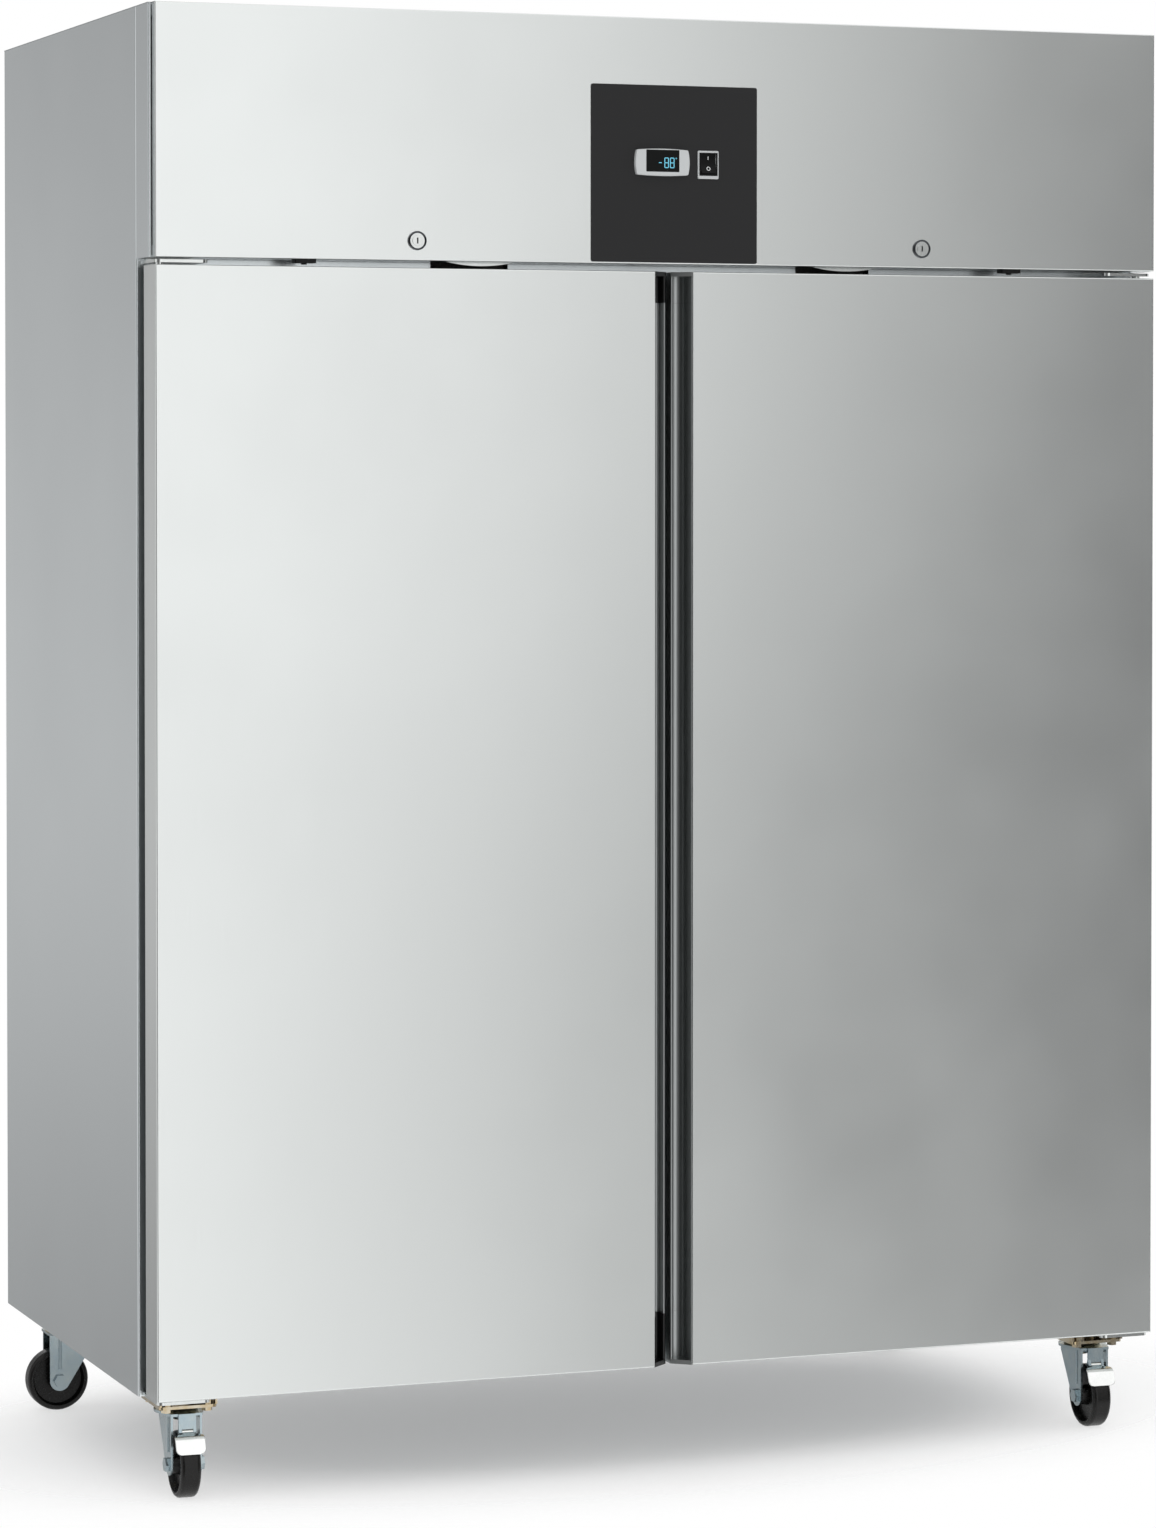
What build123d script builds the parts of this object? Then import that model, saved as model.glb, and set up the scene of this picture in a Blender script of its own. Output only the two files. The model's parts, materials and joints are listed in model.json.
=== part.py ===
from build123d import *
import math
import os

# Two-door upright cold cabinet in stainless steel, on four swivel castors, with its
# cooling unit in a top compartment behind a plain fascia.
# Sizes are in millimetres. Pieces are drawn with x to the right, the door faces at
# y = 0 and y growing towards the back, and the floor at z = 0. Each saved piece is
# moved forward by half the depth, so that the origin is the middle of the footprint.

os.makedirs("parts", exist_ok=True)

# Overall sizes of the cabinet
overall_width = 1480
body_depth = 830
overall_height = 2000

# Walls, sheets and fits
wall = 75
sheet = 1.0
bend = 2.0
touch = 0.2
foam_gap = 0.6
over = 1.0
edge_return = 14

# Insulated box and its opening
seal_gap = 22
frame_sheet = 1.2
frame_lip = 15
box_rise = 11.5
cove = 12
mullion_width = 64
mullion_depth = 45

# Doors
side_gap = 5
door_lift = 5.5
fascia_gap = 10
door_thick = 58
door_edge_round = 2
front_gap = 56.4
meeting_gap = 7
pan_inset = 95
pan_height = 12
pan_taper = 20
gasket_width = 16
gasket_neck = 10
gasket_inset = 19
gasket_inset_meeting = 4.5

# Grip profile along the meeting edge of each door
grip_wall = 1.2
grip_depth = 40
grip_lip_setback = 22
grip_lip_width = 4.3
grip_curve = 12
grip_flange = 16
grip_cap = 6
grip_top_end = 42
grip_bottom_end = 70

# Hinges
hinge_inset = 14
hinge_setback = 30
hinge_pin_r = 6
hinge_pin_length = 30
hinge_plate = 4
hinge_reach = 73
hinge_leg = 15
bush_r = 10
bush_length = 30
bush_flange = 0.7
running = 0.05

# Top compartment
fascia_height = 336.5
fascia_return = 17.5
fascia_side_return = 15
cheek_width = 12
rail_sheet = 1.2
rail_height = 15
rail_back = 70
tray_sheet = 1.5
tray_lip = 20

# Control plate and what it carries
plate_width = 244
plate_height = 242.5
plate_thick = 1.5
plate_corner = 3
control_rise = 138.8
bezel_x = -19.8
bezel_width = 79.5
bezel_height = 37.2
bezel_bow_x = 2.2
bezel_bow_z = 1.6
bezel_corner = 2.5
cutout_width = 71
cutout_height = 29
window_width = 48.5
window_height = 30
window_thick = 1.2
window_lift = 2
edge_break = 0.8
body_corner = 0.8
switch_x = 49
switch_drop = 1.9
switch_width = 30.6
switch_height = 38.6
switch_body_width = 26
switch_body_height = 34
rocker_width = 21.6
rocker_height = 26.4
rocker_y = 4
rocker_tilt = 8
rocker_pin_r = 1.5
proud = 8

# Locks and latches
lock_offset = 10.1
lock_rise = 26.5
lock_flange_r = 12
lock_flange = 2
lock_body_r = 9.5
lock_body_length = 28
plug_r = 7
crank_r = 12
crank_pin_r = 2
cam_thick = 2.7
cam_back = 33
latch_offset = 101.5
latch_width = 95
latch_front = 34
latch_back = 37
latch_hang = 5
latch_stroke = 12
switch_offset = 149.5

# Shelving
shelf_side_gap = 61.5
shelf_front_gap = 18
shelf_back_gap = 7
lowest_shelf_rise = 331
highest_shelf_drop = 310
upright_width = 30
upright_depth = 10
upright_sheet = 1.5
runner_reach = 75
runner_height = 22
centre_post = 12

# Cold air side
cover_half = 420
cover_front = 200
cover_drop = 75
cover_slope = 30
fan_shaft_r = 3
fan_room = 5
evap_fan_r = 85
evap_fan_rise = 16
coil_half = 330
coil_depth = 160
coil_height = 62
coil_back_space = 190
coil_low_row = 20
coil_high_row = 42
passage_x = -60
passage_back_space = 130
passage_r = 22

# Cooling unit in the top compartment
compressor_x = -330
compressor_back_space = 350
compressor_r = 82
compressor_foot = 13
compressor_height = 190
condenser_back_space = 50
condenser_depth = 75
condenser_half = 165
condenser_height = 298
cond_fan_x = 250
cond_fan_r = 118
pipe_r = 4
gland_inset = 180
gland_rise = 53.3
gland_thread_r = 10
gland_inside = 12
lead_r = 4.5

# Castors
castor_front_inset = 63
castor_back_inset = 73
castor_front_y = 105
castor_back_space = 118
castor_trail = 28
wheel_r = 45
wheel_width = 28
above_wheel = 49
hub_half = 18.2
plate_x = 80
plate_y = 100
castor_plate_thick = 4
bracket_height = 12
bracket_wall = 3
race_height = 7
race_r = 30
race_gap = 0.4
kingpin_r = 6
rivet_rise = 10
rivet_height = 4
axle_r = 5
head_r = 34
fork_thick = 3
fork_inner = 18.5
fork_front = 43
bolt_r = 4
bolt_across = 13
bolt_x = 56
bolt_y = 80
pedal_y = -46
pedal_rise = 1
pedal_slope = 50
pedal_width = 41
pedal_length = 42
knuckle_r = 3.6
knuckle_pin_r = 2
front_turn = -1.5
back_left_turn = -90
back_right_turn = -80

# Sizes worked out from the ones above
half = overall_width / 2
wheel_top = 2 * wheel_r
underside = wheel_top + above_wheel
fascia_bottom = overall_height - fascia_height
lid_bottom = overall_height - sheet
frame_setback = door_thick + seal_gap
box_top = fascia_bottom + box_rise
door_bottom = underside + door_lift
door_top = fascia_bottom - fascia_gap
door_edge = half - side_gap
grip_edge = front_gap / 2
meeting = meeting_gap / 2
cavity_x = half - wall
cavity_bottom = underside + wall
cavity_top = box_top - wall
cavity_back = body_depth - wall
hinge_x = door_edge - hinge_inset
tray_top = box_top + tray_sheet
unit_base = tray_top + touch

# Controls and locks on the fascia
control_z = fascia_bottom + control_rise
switch_z = control_z - switch_drop
lock_x = (grip_edge + door_edge) / 2 - lock_offset
lock_z = fascia_bottom + lock_rise
latch_x = lock_x - latch_offset

# Shelves between the side wall and the middle uprights
upright_front = frame_setback + mullion_depth + upright_width / 2 + touch
upright_back = cavity_back - upright_width / 2 - touch
cover_bottom = cavity_top - cover_drop
shelf_width = cavity_x - centre_post - 2 * shelf_side_gap
shelf_depth = cavity_back - shelf_back_gap - frame_setback - shelf_front_gap
shelf_middle_x = (cavity_x + centre_post) / 2
shelf_middle_y = cavity_back - shelf_back_gap - shelf_depth / 2
lowest_shelf = cavity_bottom + lowest_shelf_rise
highest_shelf = cover_bottom - highest_shelf_drop
shelf_levels = (lowest_shelf, (lowest_shelf + highest_shelf) / 2, highest_shelf)

# Cold air side and cooling unit, set out from the back
coil_back = body_depth - coil_back_space
coil_front = coil_back - coil_depth
coil_bottom = cavity_top - coil_height
evap_fan_y = (coil_front + cover_front + cover_slope) / 2
evap_fan_base = cover_bottom + evap_fan_rise
passage_y = body_depth - passage_back_space
compressor_y = body_depth - compressor_back_space
condenser_front = body_depth - condenser_back_space - condenser_depth
cond_fan_y = condenser_front - 50
cond_fan_z = unit_base + condenser_height / 2
gland_x = gland_inset - half
gland_z = unit_base + gland_rise

# Castors
castor_plate_top = underside - bracket_height
castor_plate_bottom = castor_plate_top - castor_plate_thick
race_bottom = castor_plate_bottom - race_height
fork_top = race_bottom - race_gap
rivet_low = wheel_top + rivet_rise
pedal_z = wheel_top + pedal_rise
castor_front_x = half - castor_front_inset
castor_back_x = half - castor_back_inset
castor_back_y = body_depth - castor_back_space
castors = (
    ("front_left", -castor_front_x, castor_front_y, front_turn),
    ("front_right", castor_front_x, castor_front_y, front_turn),
    ("back_left", -castor_back_x, castor_back_y, back_left_turn),
    ("back_right", castor_back_x, castor_back_y, back_right_turn),
)


def block(x0, x1, y0, y1, z0, z1):
    """Solid between two corners."""
    centre = Pos((x0 + x1) / 2, (y0 + y1) / 2, (z0 + z1) / 2)
    return centre * Box(x1 - x0, y1 - y0, z1 - z0)


def facing(x, y, z):
    """Upright plane at a point, drawn as seen from the front."""
    return Plane(origin=(x, y, z), x_dir=(1, 0, 0), z_dir=(0, -1, 0))


def panel(x0, x1, z0, z1, radius, y0, y1):
    """Upright slab with rounded corners, from y0 back to y1."""
    plane = facing((x0 + x1) / 2, y1, (z0 + z1) / 2)
    return extrude(plane * RectangleRounded(x1 - x0, z1 - z0, radius), y1 - y0)


def folded_upright(points, thickness, z0, z1, radius=bend):
    """Sheet folded to a line seen from above, standing from z0 to z1."""
    path = FilletPolyline(*points, radius=radius)
    return Pos(0, 0, z0) * extrude(trace(path, line_width=thickness), z1 - z0)


def folded_across(points, thickness, x0, x1, radius=bend):
    """Sheet folded to a line of (y, z) points, running from x0 to x1."""
    path = FilletPolyline(*points, radius=radius)
    profile = Plane.YZ * trace(path, line_width=thickness)
    return Pos(x0, 0, 0) * extrude(profile, x1 - x0)


def rod_x(y, z, radius, x0, x1):
    """Round bar along x."""
    return Pos(x0, 0, 0) * extrude(Plane.YZ * Pos(y, z) * Circle(radius), x1 - x0)


def rod_y(x, z, radius, y0, y1):
    """Round bar along y."""
    return extrude(facing(x, y1, z) * Circle(radius), y1 - y0)


def rod_z(x, y, radius, z0, z1):
    """Round bar along z."""
    return Pos(x, y, z0) * extrude(Circle(radius), z1 - z0)


def hexagon(across):
    """Hexagon measured across its flats."""
    return RegularPolygon(across / 2, 6, major_radius=False)


def slot_field(length, width, pitch_x, pitch_y, count_x, count_y):
    """Grid of long rounded slots."""
    slot = SlotOverall(length, width)
    return Sketch() + [place * slot for place in GridLocations(pitch_x, pitch_y, count_x, count_y)]


def mirrored(shape):
    """The same piece on the other side of the middle plane."""
    return mirror(shape, about=Plane.YZ)


def both_sides(shape):
    """A piece and its mirror image."""
    return [shape, mirrored(shape)]


def save(name, solids):
    """Write one named piece, or a group of separate ones."""
    if isinstance(solids, list):
        solids = Compound(children=solids)
    export_step(Pos(0, -body_depth / 2, 0) * solids, f"parts/{name}.step")


# Outer casing

def side_panels():
    """Outer side sheets, folded inward at the front and the back."""
    middle = half - sheet / 2
    front = frame_setback + sheet / 2
    back = body_depth - sheet / 2
    turn_in = half - edge_return
    points = ((turn_in, front), (middle, front), (middle, back), (turn_in, back))
    return both_sides(folded_upright(points, sheet, underside, lid_bottom))


def back_panel():
    """Rear sheet between the side panels, with air slots for the cooling unit."""
    inner = half - sheet - bend
    back = body_depth - sheet
    rear = block(-inner, inner, back - sheet, back, underside + sheet + touch, lid_bottom)
    slots = slot_field(length=90, width=8, pitch_x=120, pitch_y=32, count_x=8, count_y=6)
    rear -= extrude(facing(0, back, (box_top + overall_height) / 2) * slots, sheet + over, both=True)
    return rear - rod_y(gland_x, gland_z, gland_thread_r + touch, back - sheet - over, back + over)


def bottom_panel():
    """Outer sheet under the insulated box."""
    inner = half - sheet - foam_gap
    front = frame_setback + 2 * sheet
    return block(-inner, inner, front, body_depth - sheet - foam_gap, underside, underside + sheet)


def front_frame():
    """Stainless surround that the door seals close on, with a recess behind each latch."""
    outer = half - edge_return - touch
    t = frame_sheet
    lip_back = frame_setback + frame_lip
    frame = block(-outer, outer, frame_setback, frame_setback + t, underside, box_top)
    frame += panel(-cavity_x - t, cavity_x + t, cavity_bottom - t, cavity_top + t, cove + t,
                   frame_setback, lip_back)
    frame -= panel(-cavity_x, cavity_x, cavity_bottom, cavity_top, cove,
                   frame_setback - over, lip_back + over)
    return frame - latch_recesses()


def latch_recesses():
    """Space of the dark recess behind each latch."""
    recess_half = 56
    corner = 3
    low = door_top - 2
    high = fascia_bottom + 4
    recess = panel(latch_x - recess_half, latch_x + recess_half, low, high, corner,
                   frame_setback - over, frame_setback + frame_lip)
    return both_sides(recess)


def mullion():
    """Hollow post behind the meeting edges of the doors."""
    tube = 1.5
    corner = 4
    outer = RectangleRounded(mullion_width, mullion_depth, corner)
    inner = RectangleRounded(mullion_width - 2 * tube, mullion_depth - 2 * tube, corner - tube)
    post = extrude(outer - inner, cavity_top - cavity_bottom - 2 * touch)
    return Pos(0, frame_setback + mullion_depth / 2, cavity_bottom + touch) * post


def insulation():
    """Foam slabs between the outer sheets and the liner: bottom, top, back and two sides."""
    gap = frame_sheet + touch
    sleeve_r = passage_r + 2
    outer_x = half - sheet - foam_gap
    front = frame_setback + sheet + foam_gap
    back = body_depth - 2 * sheet - touch
    inner_x = cavity_x + gap
    inner_back = cavity_back + gap
    low = cavity_bottom - gap
    high = cavity_top + gap
    bottom = block(-outer_x, outer_x, front, back, underside + sheet + touch, low)
    top = block(-outer_x, outer_x, front, back, high, box_top - touch) - latch_recesses()
    top -= rod_z(passage_x, passage_y, sleeve_r, cavity_top - over, box_top + over)
    rear = block(touch - inner_x, inner_x - touch, inner_back, back, low + touch, high - touch)
    side = block(inner_x, outer_x, front, back, low + touch, high - touch)
    return [bottom, top, rear] + both_sides(side)


def inner_liner():
    """Food-safe liner with coved corners."""
    front = frame_setback + frame_lip
    outer_x = cavity_x + sheet
    liner = panel(-outer_x, outer_x, cavity_bottom - sheet, cavity_top + sheet, cove + sheet,
                  front, cavity_back + sheet)
    liner -= panel(-cavity_x, cavity_x, cavity_bottom, cavity_top, cove, front - over, cavity_back)
    return liner - rod_z(passage_x, passage_y, passage_r, cavity_top - over, cavity_top + 2 * over)


# Shelving

def upright(x, y, height):
    """Slotted channel above the cove of the floor, open towards positive x."""
    t = upright_sheet
    side = upright_width / 2 - t / 2
    pitch = 90
    slot_half = 7
    slot_height = 5
    points = ((upright_depth, -side), (t / 2, -side), (t / 2, side), (upright_depth, side))
    channel = folded_upright(points, t, 0, height, radius=t)
    for i in range(int(height / pitch)):
        z = pitch * (i + 0.5)
        channel -= block(-over, t + over, -slot_half, slot_half, z, z + slot_height)
    return Pos(x, y, cavity_bottom + cove + touch) * channel


def shelf_uprights():
    """Eight slotted uprights: four on the side walls and four in the middle."""
    headroom = 10
    height = cover_bottom - cavity_bottom - cove - headroom
    solids = []
    for y in (upright_front, upright_back):
        solids += both_sides(upright(-cavity_x + touch, y, height))
        solids += both_sides(upright(centre_post, y, height))
    return solids


def shelf_runners():
    """A pair of rails under each shelf, hooked to the uprights."""
    t = upright_sheet
    face = cavity_x - upright_depth - touch
    end_gap_front = 2
    end_gap_back = 6
    front = frame_setback + mullion_depth + end_gap_front
    length = cavity_back - end_gap_back - front
    solids = []
    for level in shelf_levels:
        points = (
            (face - t / 2, level + runner_height),
            (face - t / 2, level - t / 2),
            (face - runner_reach, level - t / 2),
        )
        profile = trace(FilletPolyline(*points, radius=t), line_width=t)
        outer_rail = extrude(facing(0, front + length, 0) * profile, length)
        inner_rail = Pos(2 * shelf_middle_x, 0, 0) * mirrored(outer_rail)
        solids += both_sides(outer_rail) + both_sides(inner_rail)
    return solids


def wire_shelf():
    """Coated wire shelf, lying flat with its middle at the origin."""
    x = shelf_width / 2
    y = shelf_depth / 2
    bar = 6
    wire_half = 1.75
    wire_low = bar - 1
    wire_high = bar + 2.5
    cross_y = 110
    count = 15
    pitch = shelf_width / (count + 1)
    shelf = block(-x, x, -y, y, 0, bar)
    shelf -= block(-x + bar, x - bar, -y + bar, y - bar, -over, bar + over)
    for side in (-cross_y, cross_y):
        shelf += block(-x + bar / 2, x - bar / 2, side - bar / 2, side + bar / 2, 0, bar)
    for i in range(count):
        wire_x = -x + pitch * (i + 1)
        shelf += block(wire_x - wire_half, wire_x + wire_half, -y, y, wire_low, wire_high)
    return shelf


def wire_shelves():
    """Three shelves on each side."""
    shelf = wire_shelf()
    solids = []
    for level in shelf_levels:
        solids += both_sides(Pos(shelf_middle_x, shelf_middle_y, level + touch) * shelf)
    return solids


# Cold air side

def evaporator_cover():
    """Ceiling cover that guides the air, with a guarded fan opening below."""
    top = cavity_top - touch
    bottom = cover_bottom
    back = cavity_back - touch
    guard_r = evap_fan_r + fan_room
    guard_drop = 2
    guard_thick = 3
    outlet_z = top - 22
    cover = block(-cover_half, cover_half, cover_front, back, bottom, top)
    inside = block(-cover_half + sheet, cover_half - sheet, cover_front + sheet, back - sheet,
                   bottom + sheet, top + over)
    cover = chamfer(front_low_edge(cover), cover_slope)
    cover -= chamfer(front_low_edge(inside), cover_slope)
    cover -= rod_z(0, evap_fan_y, guard_r, bottom - over, bottom + sheet + over)
    cover += Pos(0, evap_fan_y, bottom - guard_drop) * extrude(guard(guard_r), guard_thick)
    outlets = slot_field(length=60, width=8, pitch_x=75, pitch_y=16, count_x=9, count_y=2)
    return cover - extrude(facing(0, cover_front, outlet_z) * outlets, sheet + over, both=True)


def front_low_edge(solid):
    """The lower front edge of a block."""
    return solid.edges().filter_by(Axis.X).group_by(Axis.Y)[0].sort_by(Axis.Z)[0]


def guard(radius):
    """Rings and spokes of a fan guard."""
    ring_half = 1.5
    rings = 4
    pattern = Rectangle(2 * radius, 2 * ring_half) + Rectangle(2 * ring_half, 2 * radius)
    for i in range(rings):
        r = radius * (rings - i) / rings
        pattern += Circle(r + ring_half) - Circle(r - ring_half)
    return pattern


def evaporator():
    """Finned coil above the ceiling cover."""
    top = cavity_top - touch
    pitch = 30
    groove_half = 9
    groove_depth = 25
    turn = 14
    tube_r = pipe_r + 1
    coil = block(-coil_half, coil_half, coil_front, coil_back, coil_bottom, top)
    for i in range(int(2 * coil_half / pitch) - 1):
        x = -coil_half + pitch * (i + 1)
        coil -= block(x - groove_half, x + groove_half, coil_front - over, coil_front + groove_depth,
                      coil_bottom - over, top + over)
    for y in (coil_front + coil_depth * 0.28, coil_front + coil_depth * 0.72):
        for z in (coil_bottom + coil_low_row, coil_bottom + coil_high_row):
            coil += rod_x(y, z, tube_r, -coil_half - turn, coil_half + turn)
    return coil


def fan(hub_r, tip_r, hub_length, tilt):
    """Five-bladed fan about the z axis."""
    count = 5
    thick = 1
    root = hub_r - 3
    span = tip_r - root
    chord = span * 0.62
    corner = span * 0.2
    outline = RectangleRounded(span, chord, corner)
    blade = Rot(tilt, 0, 0) * extrude(Pos(root + span / 2, 0) * outline, thick)
    rotor = extrude(Circle(hub_r), hub_length)
    for i in range(count):
        rotor += Rot(0, 0, i * 360 / count) * Pos(0, 0, hub_length / 2) * blade
    return rotor - extrude(Circle(fan_shaft_r + running), hub_length)


def evaporator_fan():
    """Fan that moves the cold air."""
    place = Pos(0, evap_fan_y, evap_fan_base)
    return place * fan(hub_r=24, tip_r=evap_fan_r, hub_length=18, tilt=24)


def condenser_fan():
    """Fan that draws room air through the condenser."""
    spin = Plane(origin=(cond_fan_x, cond_fan_y, cond_fan_z), x_dir=(1, 0, 0), z_dir=(0, 1, 0))
    return spin * fan(hub_r=32, tip_r=cond_fan_r, hub_length=24, tilt=26)


def fan_motors():
    """Motor of each fan; the warm one stands on its own bracket."""
    return [cold_fan_motor(), warm_fan_motor()]


def cold_fan_motor():
    """Motor above the evaporator fan, under the ceiling of the liner."""
    motor_r = 27
    shaft_low = evap_fan_base + 2
    motor_low = evap_fan_base + 20
    motor = rod_z(0, evap_fan_y, fan_shaft_r, shaft_low, motor_low + over)
    return motor + rod_z(0, evap_fan_y, motor_r, motor_low, cavity_top - touch)


def warm_fan_motor():
    """Motor in front of the condenser fan, on a folded bracket."""
    motor_r = 35
    motor_length = 55
    plate = 3
    plate_half = 22
    back = cond_fan_y - 4
    post_y = back - 38
    foot_front = back - 75
    low = unit_base + plate / 2
    motor = rod_y(cond_fan_x, cond_fan_z, motor_r, back - motor_length, back)
    motor += rod_y(cond_fan_x, cond_fan_z, fan_shaft_r, back - over, cond_fan_y + 20)
    bracket = ((foot_front, low), (post_y, low), (post_y, cond_fan_z - 20))
    motor += folded_across(bracket, plate, cond_fan_x - plate_half, cond_fan_x + plate_half,
                           radius=plate)
    return motor


# Top compartment

def unit_tray():
    """Sheet on top of the box that carries the cooling unit."""
    low = box_top + tray_sheet / 2
    front = frame_setback + 5
    back = body_depth - 2 * sheet - 2
    points = ((front, low + tray_lip), (front, low), (back, low), (back, low + tray_lip))
    width = half - sheet - tray_sheet
    tray = folded_across(points, tray_sheet, -width, width)
    return tray - rod_z(passage_x, passage_y, passage_r, box_top - over, tray_top + over)


def top_cover():
    """Lid of the compartment, stiffened by lips and slotted for air."""
    lip_depth = 12
    lip_x = half - 3
    lip_front = frame_setback + 10
    lip_back = body_depth - 4
    lid = block(-half, half, fascia_return + touch, body_depth, lid_bottom, overall_height)
    lips = block(-lip_x, lip_x, lip_front, lip_back, lid_bottom - lip_depth, lid_bottom)
    lips -= block(-lip_x + sheet, lip_x - sheet, lip_front + sheet, lip_back - sheet,
                  lid_bottom - lip_depth - over, lid_bottom)
    slots = slot_field(length=90, width=8, pitch_x=120, pitch_y=30, count_x=8, count_y=4)
    slot_middle = body_depth - 110
    return lid + lips - Pos(0, slot_middle, lid_bottom) * extrude(slots, 2 * sheet, both=True)


def compressor():
    """Sealed compressor shell on its foot plate."""
    low = unit_base + compressor_foot + 5
    seam = low + 95
    high = unit_base + compressor_foot + compressor_height
    flange = 5
    lower_round = 30
    upper_round = 45
    foot_width = 200
    foot_depth = 150
    foot_thick = 6
    foot_inset = 20
    rubber_r = 13
    shell = rod_z(0, 0, compressor_r, low, high)
    shell = fillet(shell.edges().sort_by(Axis.Z)[0], lower_round)
    shell = fillet(shell.edges().sort_by(Axis.Z)[-1], upper_round)
    shell += rod_z(0, 0, compressor_r + flange, seam - flange, seam + flange)
    foot = extrude(RectangleRounded(foot_width, foot_depth, foot_inset), foot_thick)
    shell += Pos(0, 0, unit_base + compressor_foot) * foot
    for place in GridLocations(foot_width - 2 * foot_inset, foot_depth - 2 * foot_inset, 2, 2):
        shell += Pos(0, 0, unit_base) * place * extrude(Circle(rubber_r), compressor_foot + over)
    shell += terminal_cover(low)
    return Pos(compressor_x, compressor_y, 0) * shell


def terminal_cover(low):
    """Cover of the terminals at the front of the compressor shell."""
    half_width = 30
    depth = 30
    sunk = 12
    corner = 4
    front = -compressor_r - depth
    cover = block(-half_width, half_width, front, sunk - compressor_r, low + 40, low + 110)
    return fillet(cover.faces().sort_by(Axis.Y)[0].edges(), corner)


def condenser():
    """Finned coil and its fan shroud, one behind the other."""
    x0 = cond_fan_x - condenser_half
    x1 = cond_fan_x + condenser_half
    z0 = unit_base
    z1 = z0 + condenser_height
    y0 = condenser_front
    y1 = y0 + condenser_depth
    fins = 15
    groove_half = 7
    groove_depth = 14
    edge = 12
    coil = block(x0, x1, y0, y1, z0, z1)
    for i in range(fins):
        x = x0 + (x1 - x0) * (i + 0.5) / fins
        coil -= block(x - groove_half, x + groove_half, y1 - groove_depth, y1 + over,
                      z0 + edge, z1 - edge)
    shell = 1.5
    depth = 45
    shroud = block(x0, x1, y0 - depth, y0 - touch, z0, z1)
    shroud -= block(x0 + shell, x1 - shell, y0 - depth + shell, y0 + over, z0 + shell, z1 - shell)
    mouth_r = cond_fan_r + fan_room
    mouth_back = y0 - depth + shell + over
    shroud -= rod_y(cond_fan_x, cond_fan_z, mouth_r, y0 - depth - over, mouth_back)
    return [coil, shroud]


def tube(points, radius):
    """Copper tube along a bent path."""
    path = FilletPolyline(*points, radius=radius)
    return sweep(Plane(origin=path @ 0, z_dir=path % 0) * Circle(pipe_r), path=path)


def refrigerant_pipes():
    """Copper lines between compressor, condenser and evaporator."""
    turn = 18
    near = 0.05
    shell_top = unit_base + compressor_foot + compressor_height + near
    high = unit_base + 258
    cross_x = compressor_x + 180
    fin_side = cond_fan_x - condenser_half - near
    fin_y = condenser_front + condenser_depth / 2
    hot = tube((
        (compressor_x, compressor_y, shell_top), (compressor_x, compressor_y, high),
        (cross_x, compressor_y, high), (cross_x, fin_y, high), (fin_side, fin_y, high),
    ), turn)
    low = unit_base + 48
    spacing = 10
    liquid_x = passage_x + spacing
    coil_z = coil_bottom + coil_low_row
    liquid = tube((
        (fin_side, fin_y, low), (liquid_x, fin_y, low), (liquid_x, passage_y, low),
        (liquid_x, passage_y, coil_z), (liquid_x, coil_back + near, coil_z),
    ), turn)
    suction_x = passage_x - spacing
    suction_z = unit_base + 88
    gas_z = coil_bottom + coil_high_row
    suction = tube((
        (suction_x, coil_back + near, gas_z), (suction_x, passage_y, gas_z),
        (suction_x, passage_y, suction_z), (suction_x, compressor_y, suction_z),
        (compressor_x + compressor_r + near, compressor_y, suction_z),
    ), turn)
    return [hot, liquid, suction]


def electrical_box():
    """Closed box with the wiring, resting on the lower rail."""
    bottom = fascia_bottom + sheet + rail_height + touch
    lid_inset = 2
    half_width = 100
    height = 88
    corner = 5
    front = fascia_return + 1
    seam = front + 12
    back = rail_back + 4
    box = panel(-half_width, half_width, bottom, bottom + height, corner, seam, back)
    lid_half = half_width - lid_inset
    lid_top = bottom + height - lid_inset
    return box + panel(-lid_half, lid_half, bottom, lid_top, corner - 1, front, seam)


def cable_gland():
    """Cable entry in the back panel, with its nut inside."""
    back = body_depth - sheet
    end = body_depth + proud
    hex_across = 27
    hex_thick = 4
    dome_r = gland_thread_r + 1
    dome_edge = 2
    body = rod_y(gland_x, gland_z, dome_r, back + over, end)
    body = chamfer(body.faces().sort_by(Axis.Y)[-1].edges(), dome_edge)
    body += extrude(facing(gland_x, back + hex_thick, gland_z) * hexagon(hex_across), hex_thick)
    body += rod_y(gland_x, gland_z, gland_thread_r, back - gland_inside, back)
    body -= rod_y(gland_x, gland_z, lead_r, back - gland_inside - over, end + over)
    nut = extrude(facing(gland_x, back - sheet - touch, gland_z) * hexagon(hex_across), hex_thick)
    nut -= rod_y(gland_x, gland_z, gland_thread_r + running, back - gland_inside, back)
    return [body, nut]


# Fascia

def fascia():
    """Front sheet of the compartment, folded back on all four sides."""
    x = door_edge
    edge_round = 1.5
    face = block(-x, x, 0, fascia_return, fascia_bottom, overall_height)
    face = fillet(face.faces().sort_by(Axis.Y)[0].edges(), edge_round)
    face -= block(-x + sheet, x - sheet, sheet, fascia_return + over,
                  fascia_bottom + sheet, overall_height - sheet)
    for side in (-x, x - sheet):
        face -= block(side - over, side + sheet + over, fascia_side_return, fascia_return + over,
                      fascia_bottom - over, overall_height + over)
    for lock in (-lock_x, lock_x):
        face -= rod_y(lock, lock_z, lock_body_r + touch, -over, sheet + over)
    return face - control_openings(1, -over, sheet + over)


def control_openings(margin, y0, y1):
    """Cut-outs for the controller and the switch."""
    cutouts = (
        (bezel_x, control_z, cutout_width, cutout_height),
        (switch_x, switch_z, switch_body_width, switch_body_height),
    )
    solids = []
    for x, z, width, height in cutouts:
        side = width / 2 + margin
        rise = height / 2 + margin
        solids.append(panel(x - side, x + side, z - rise, z + rise, body_corner + touch, y0, y1))
    return solids


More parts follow.
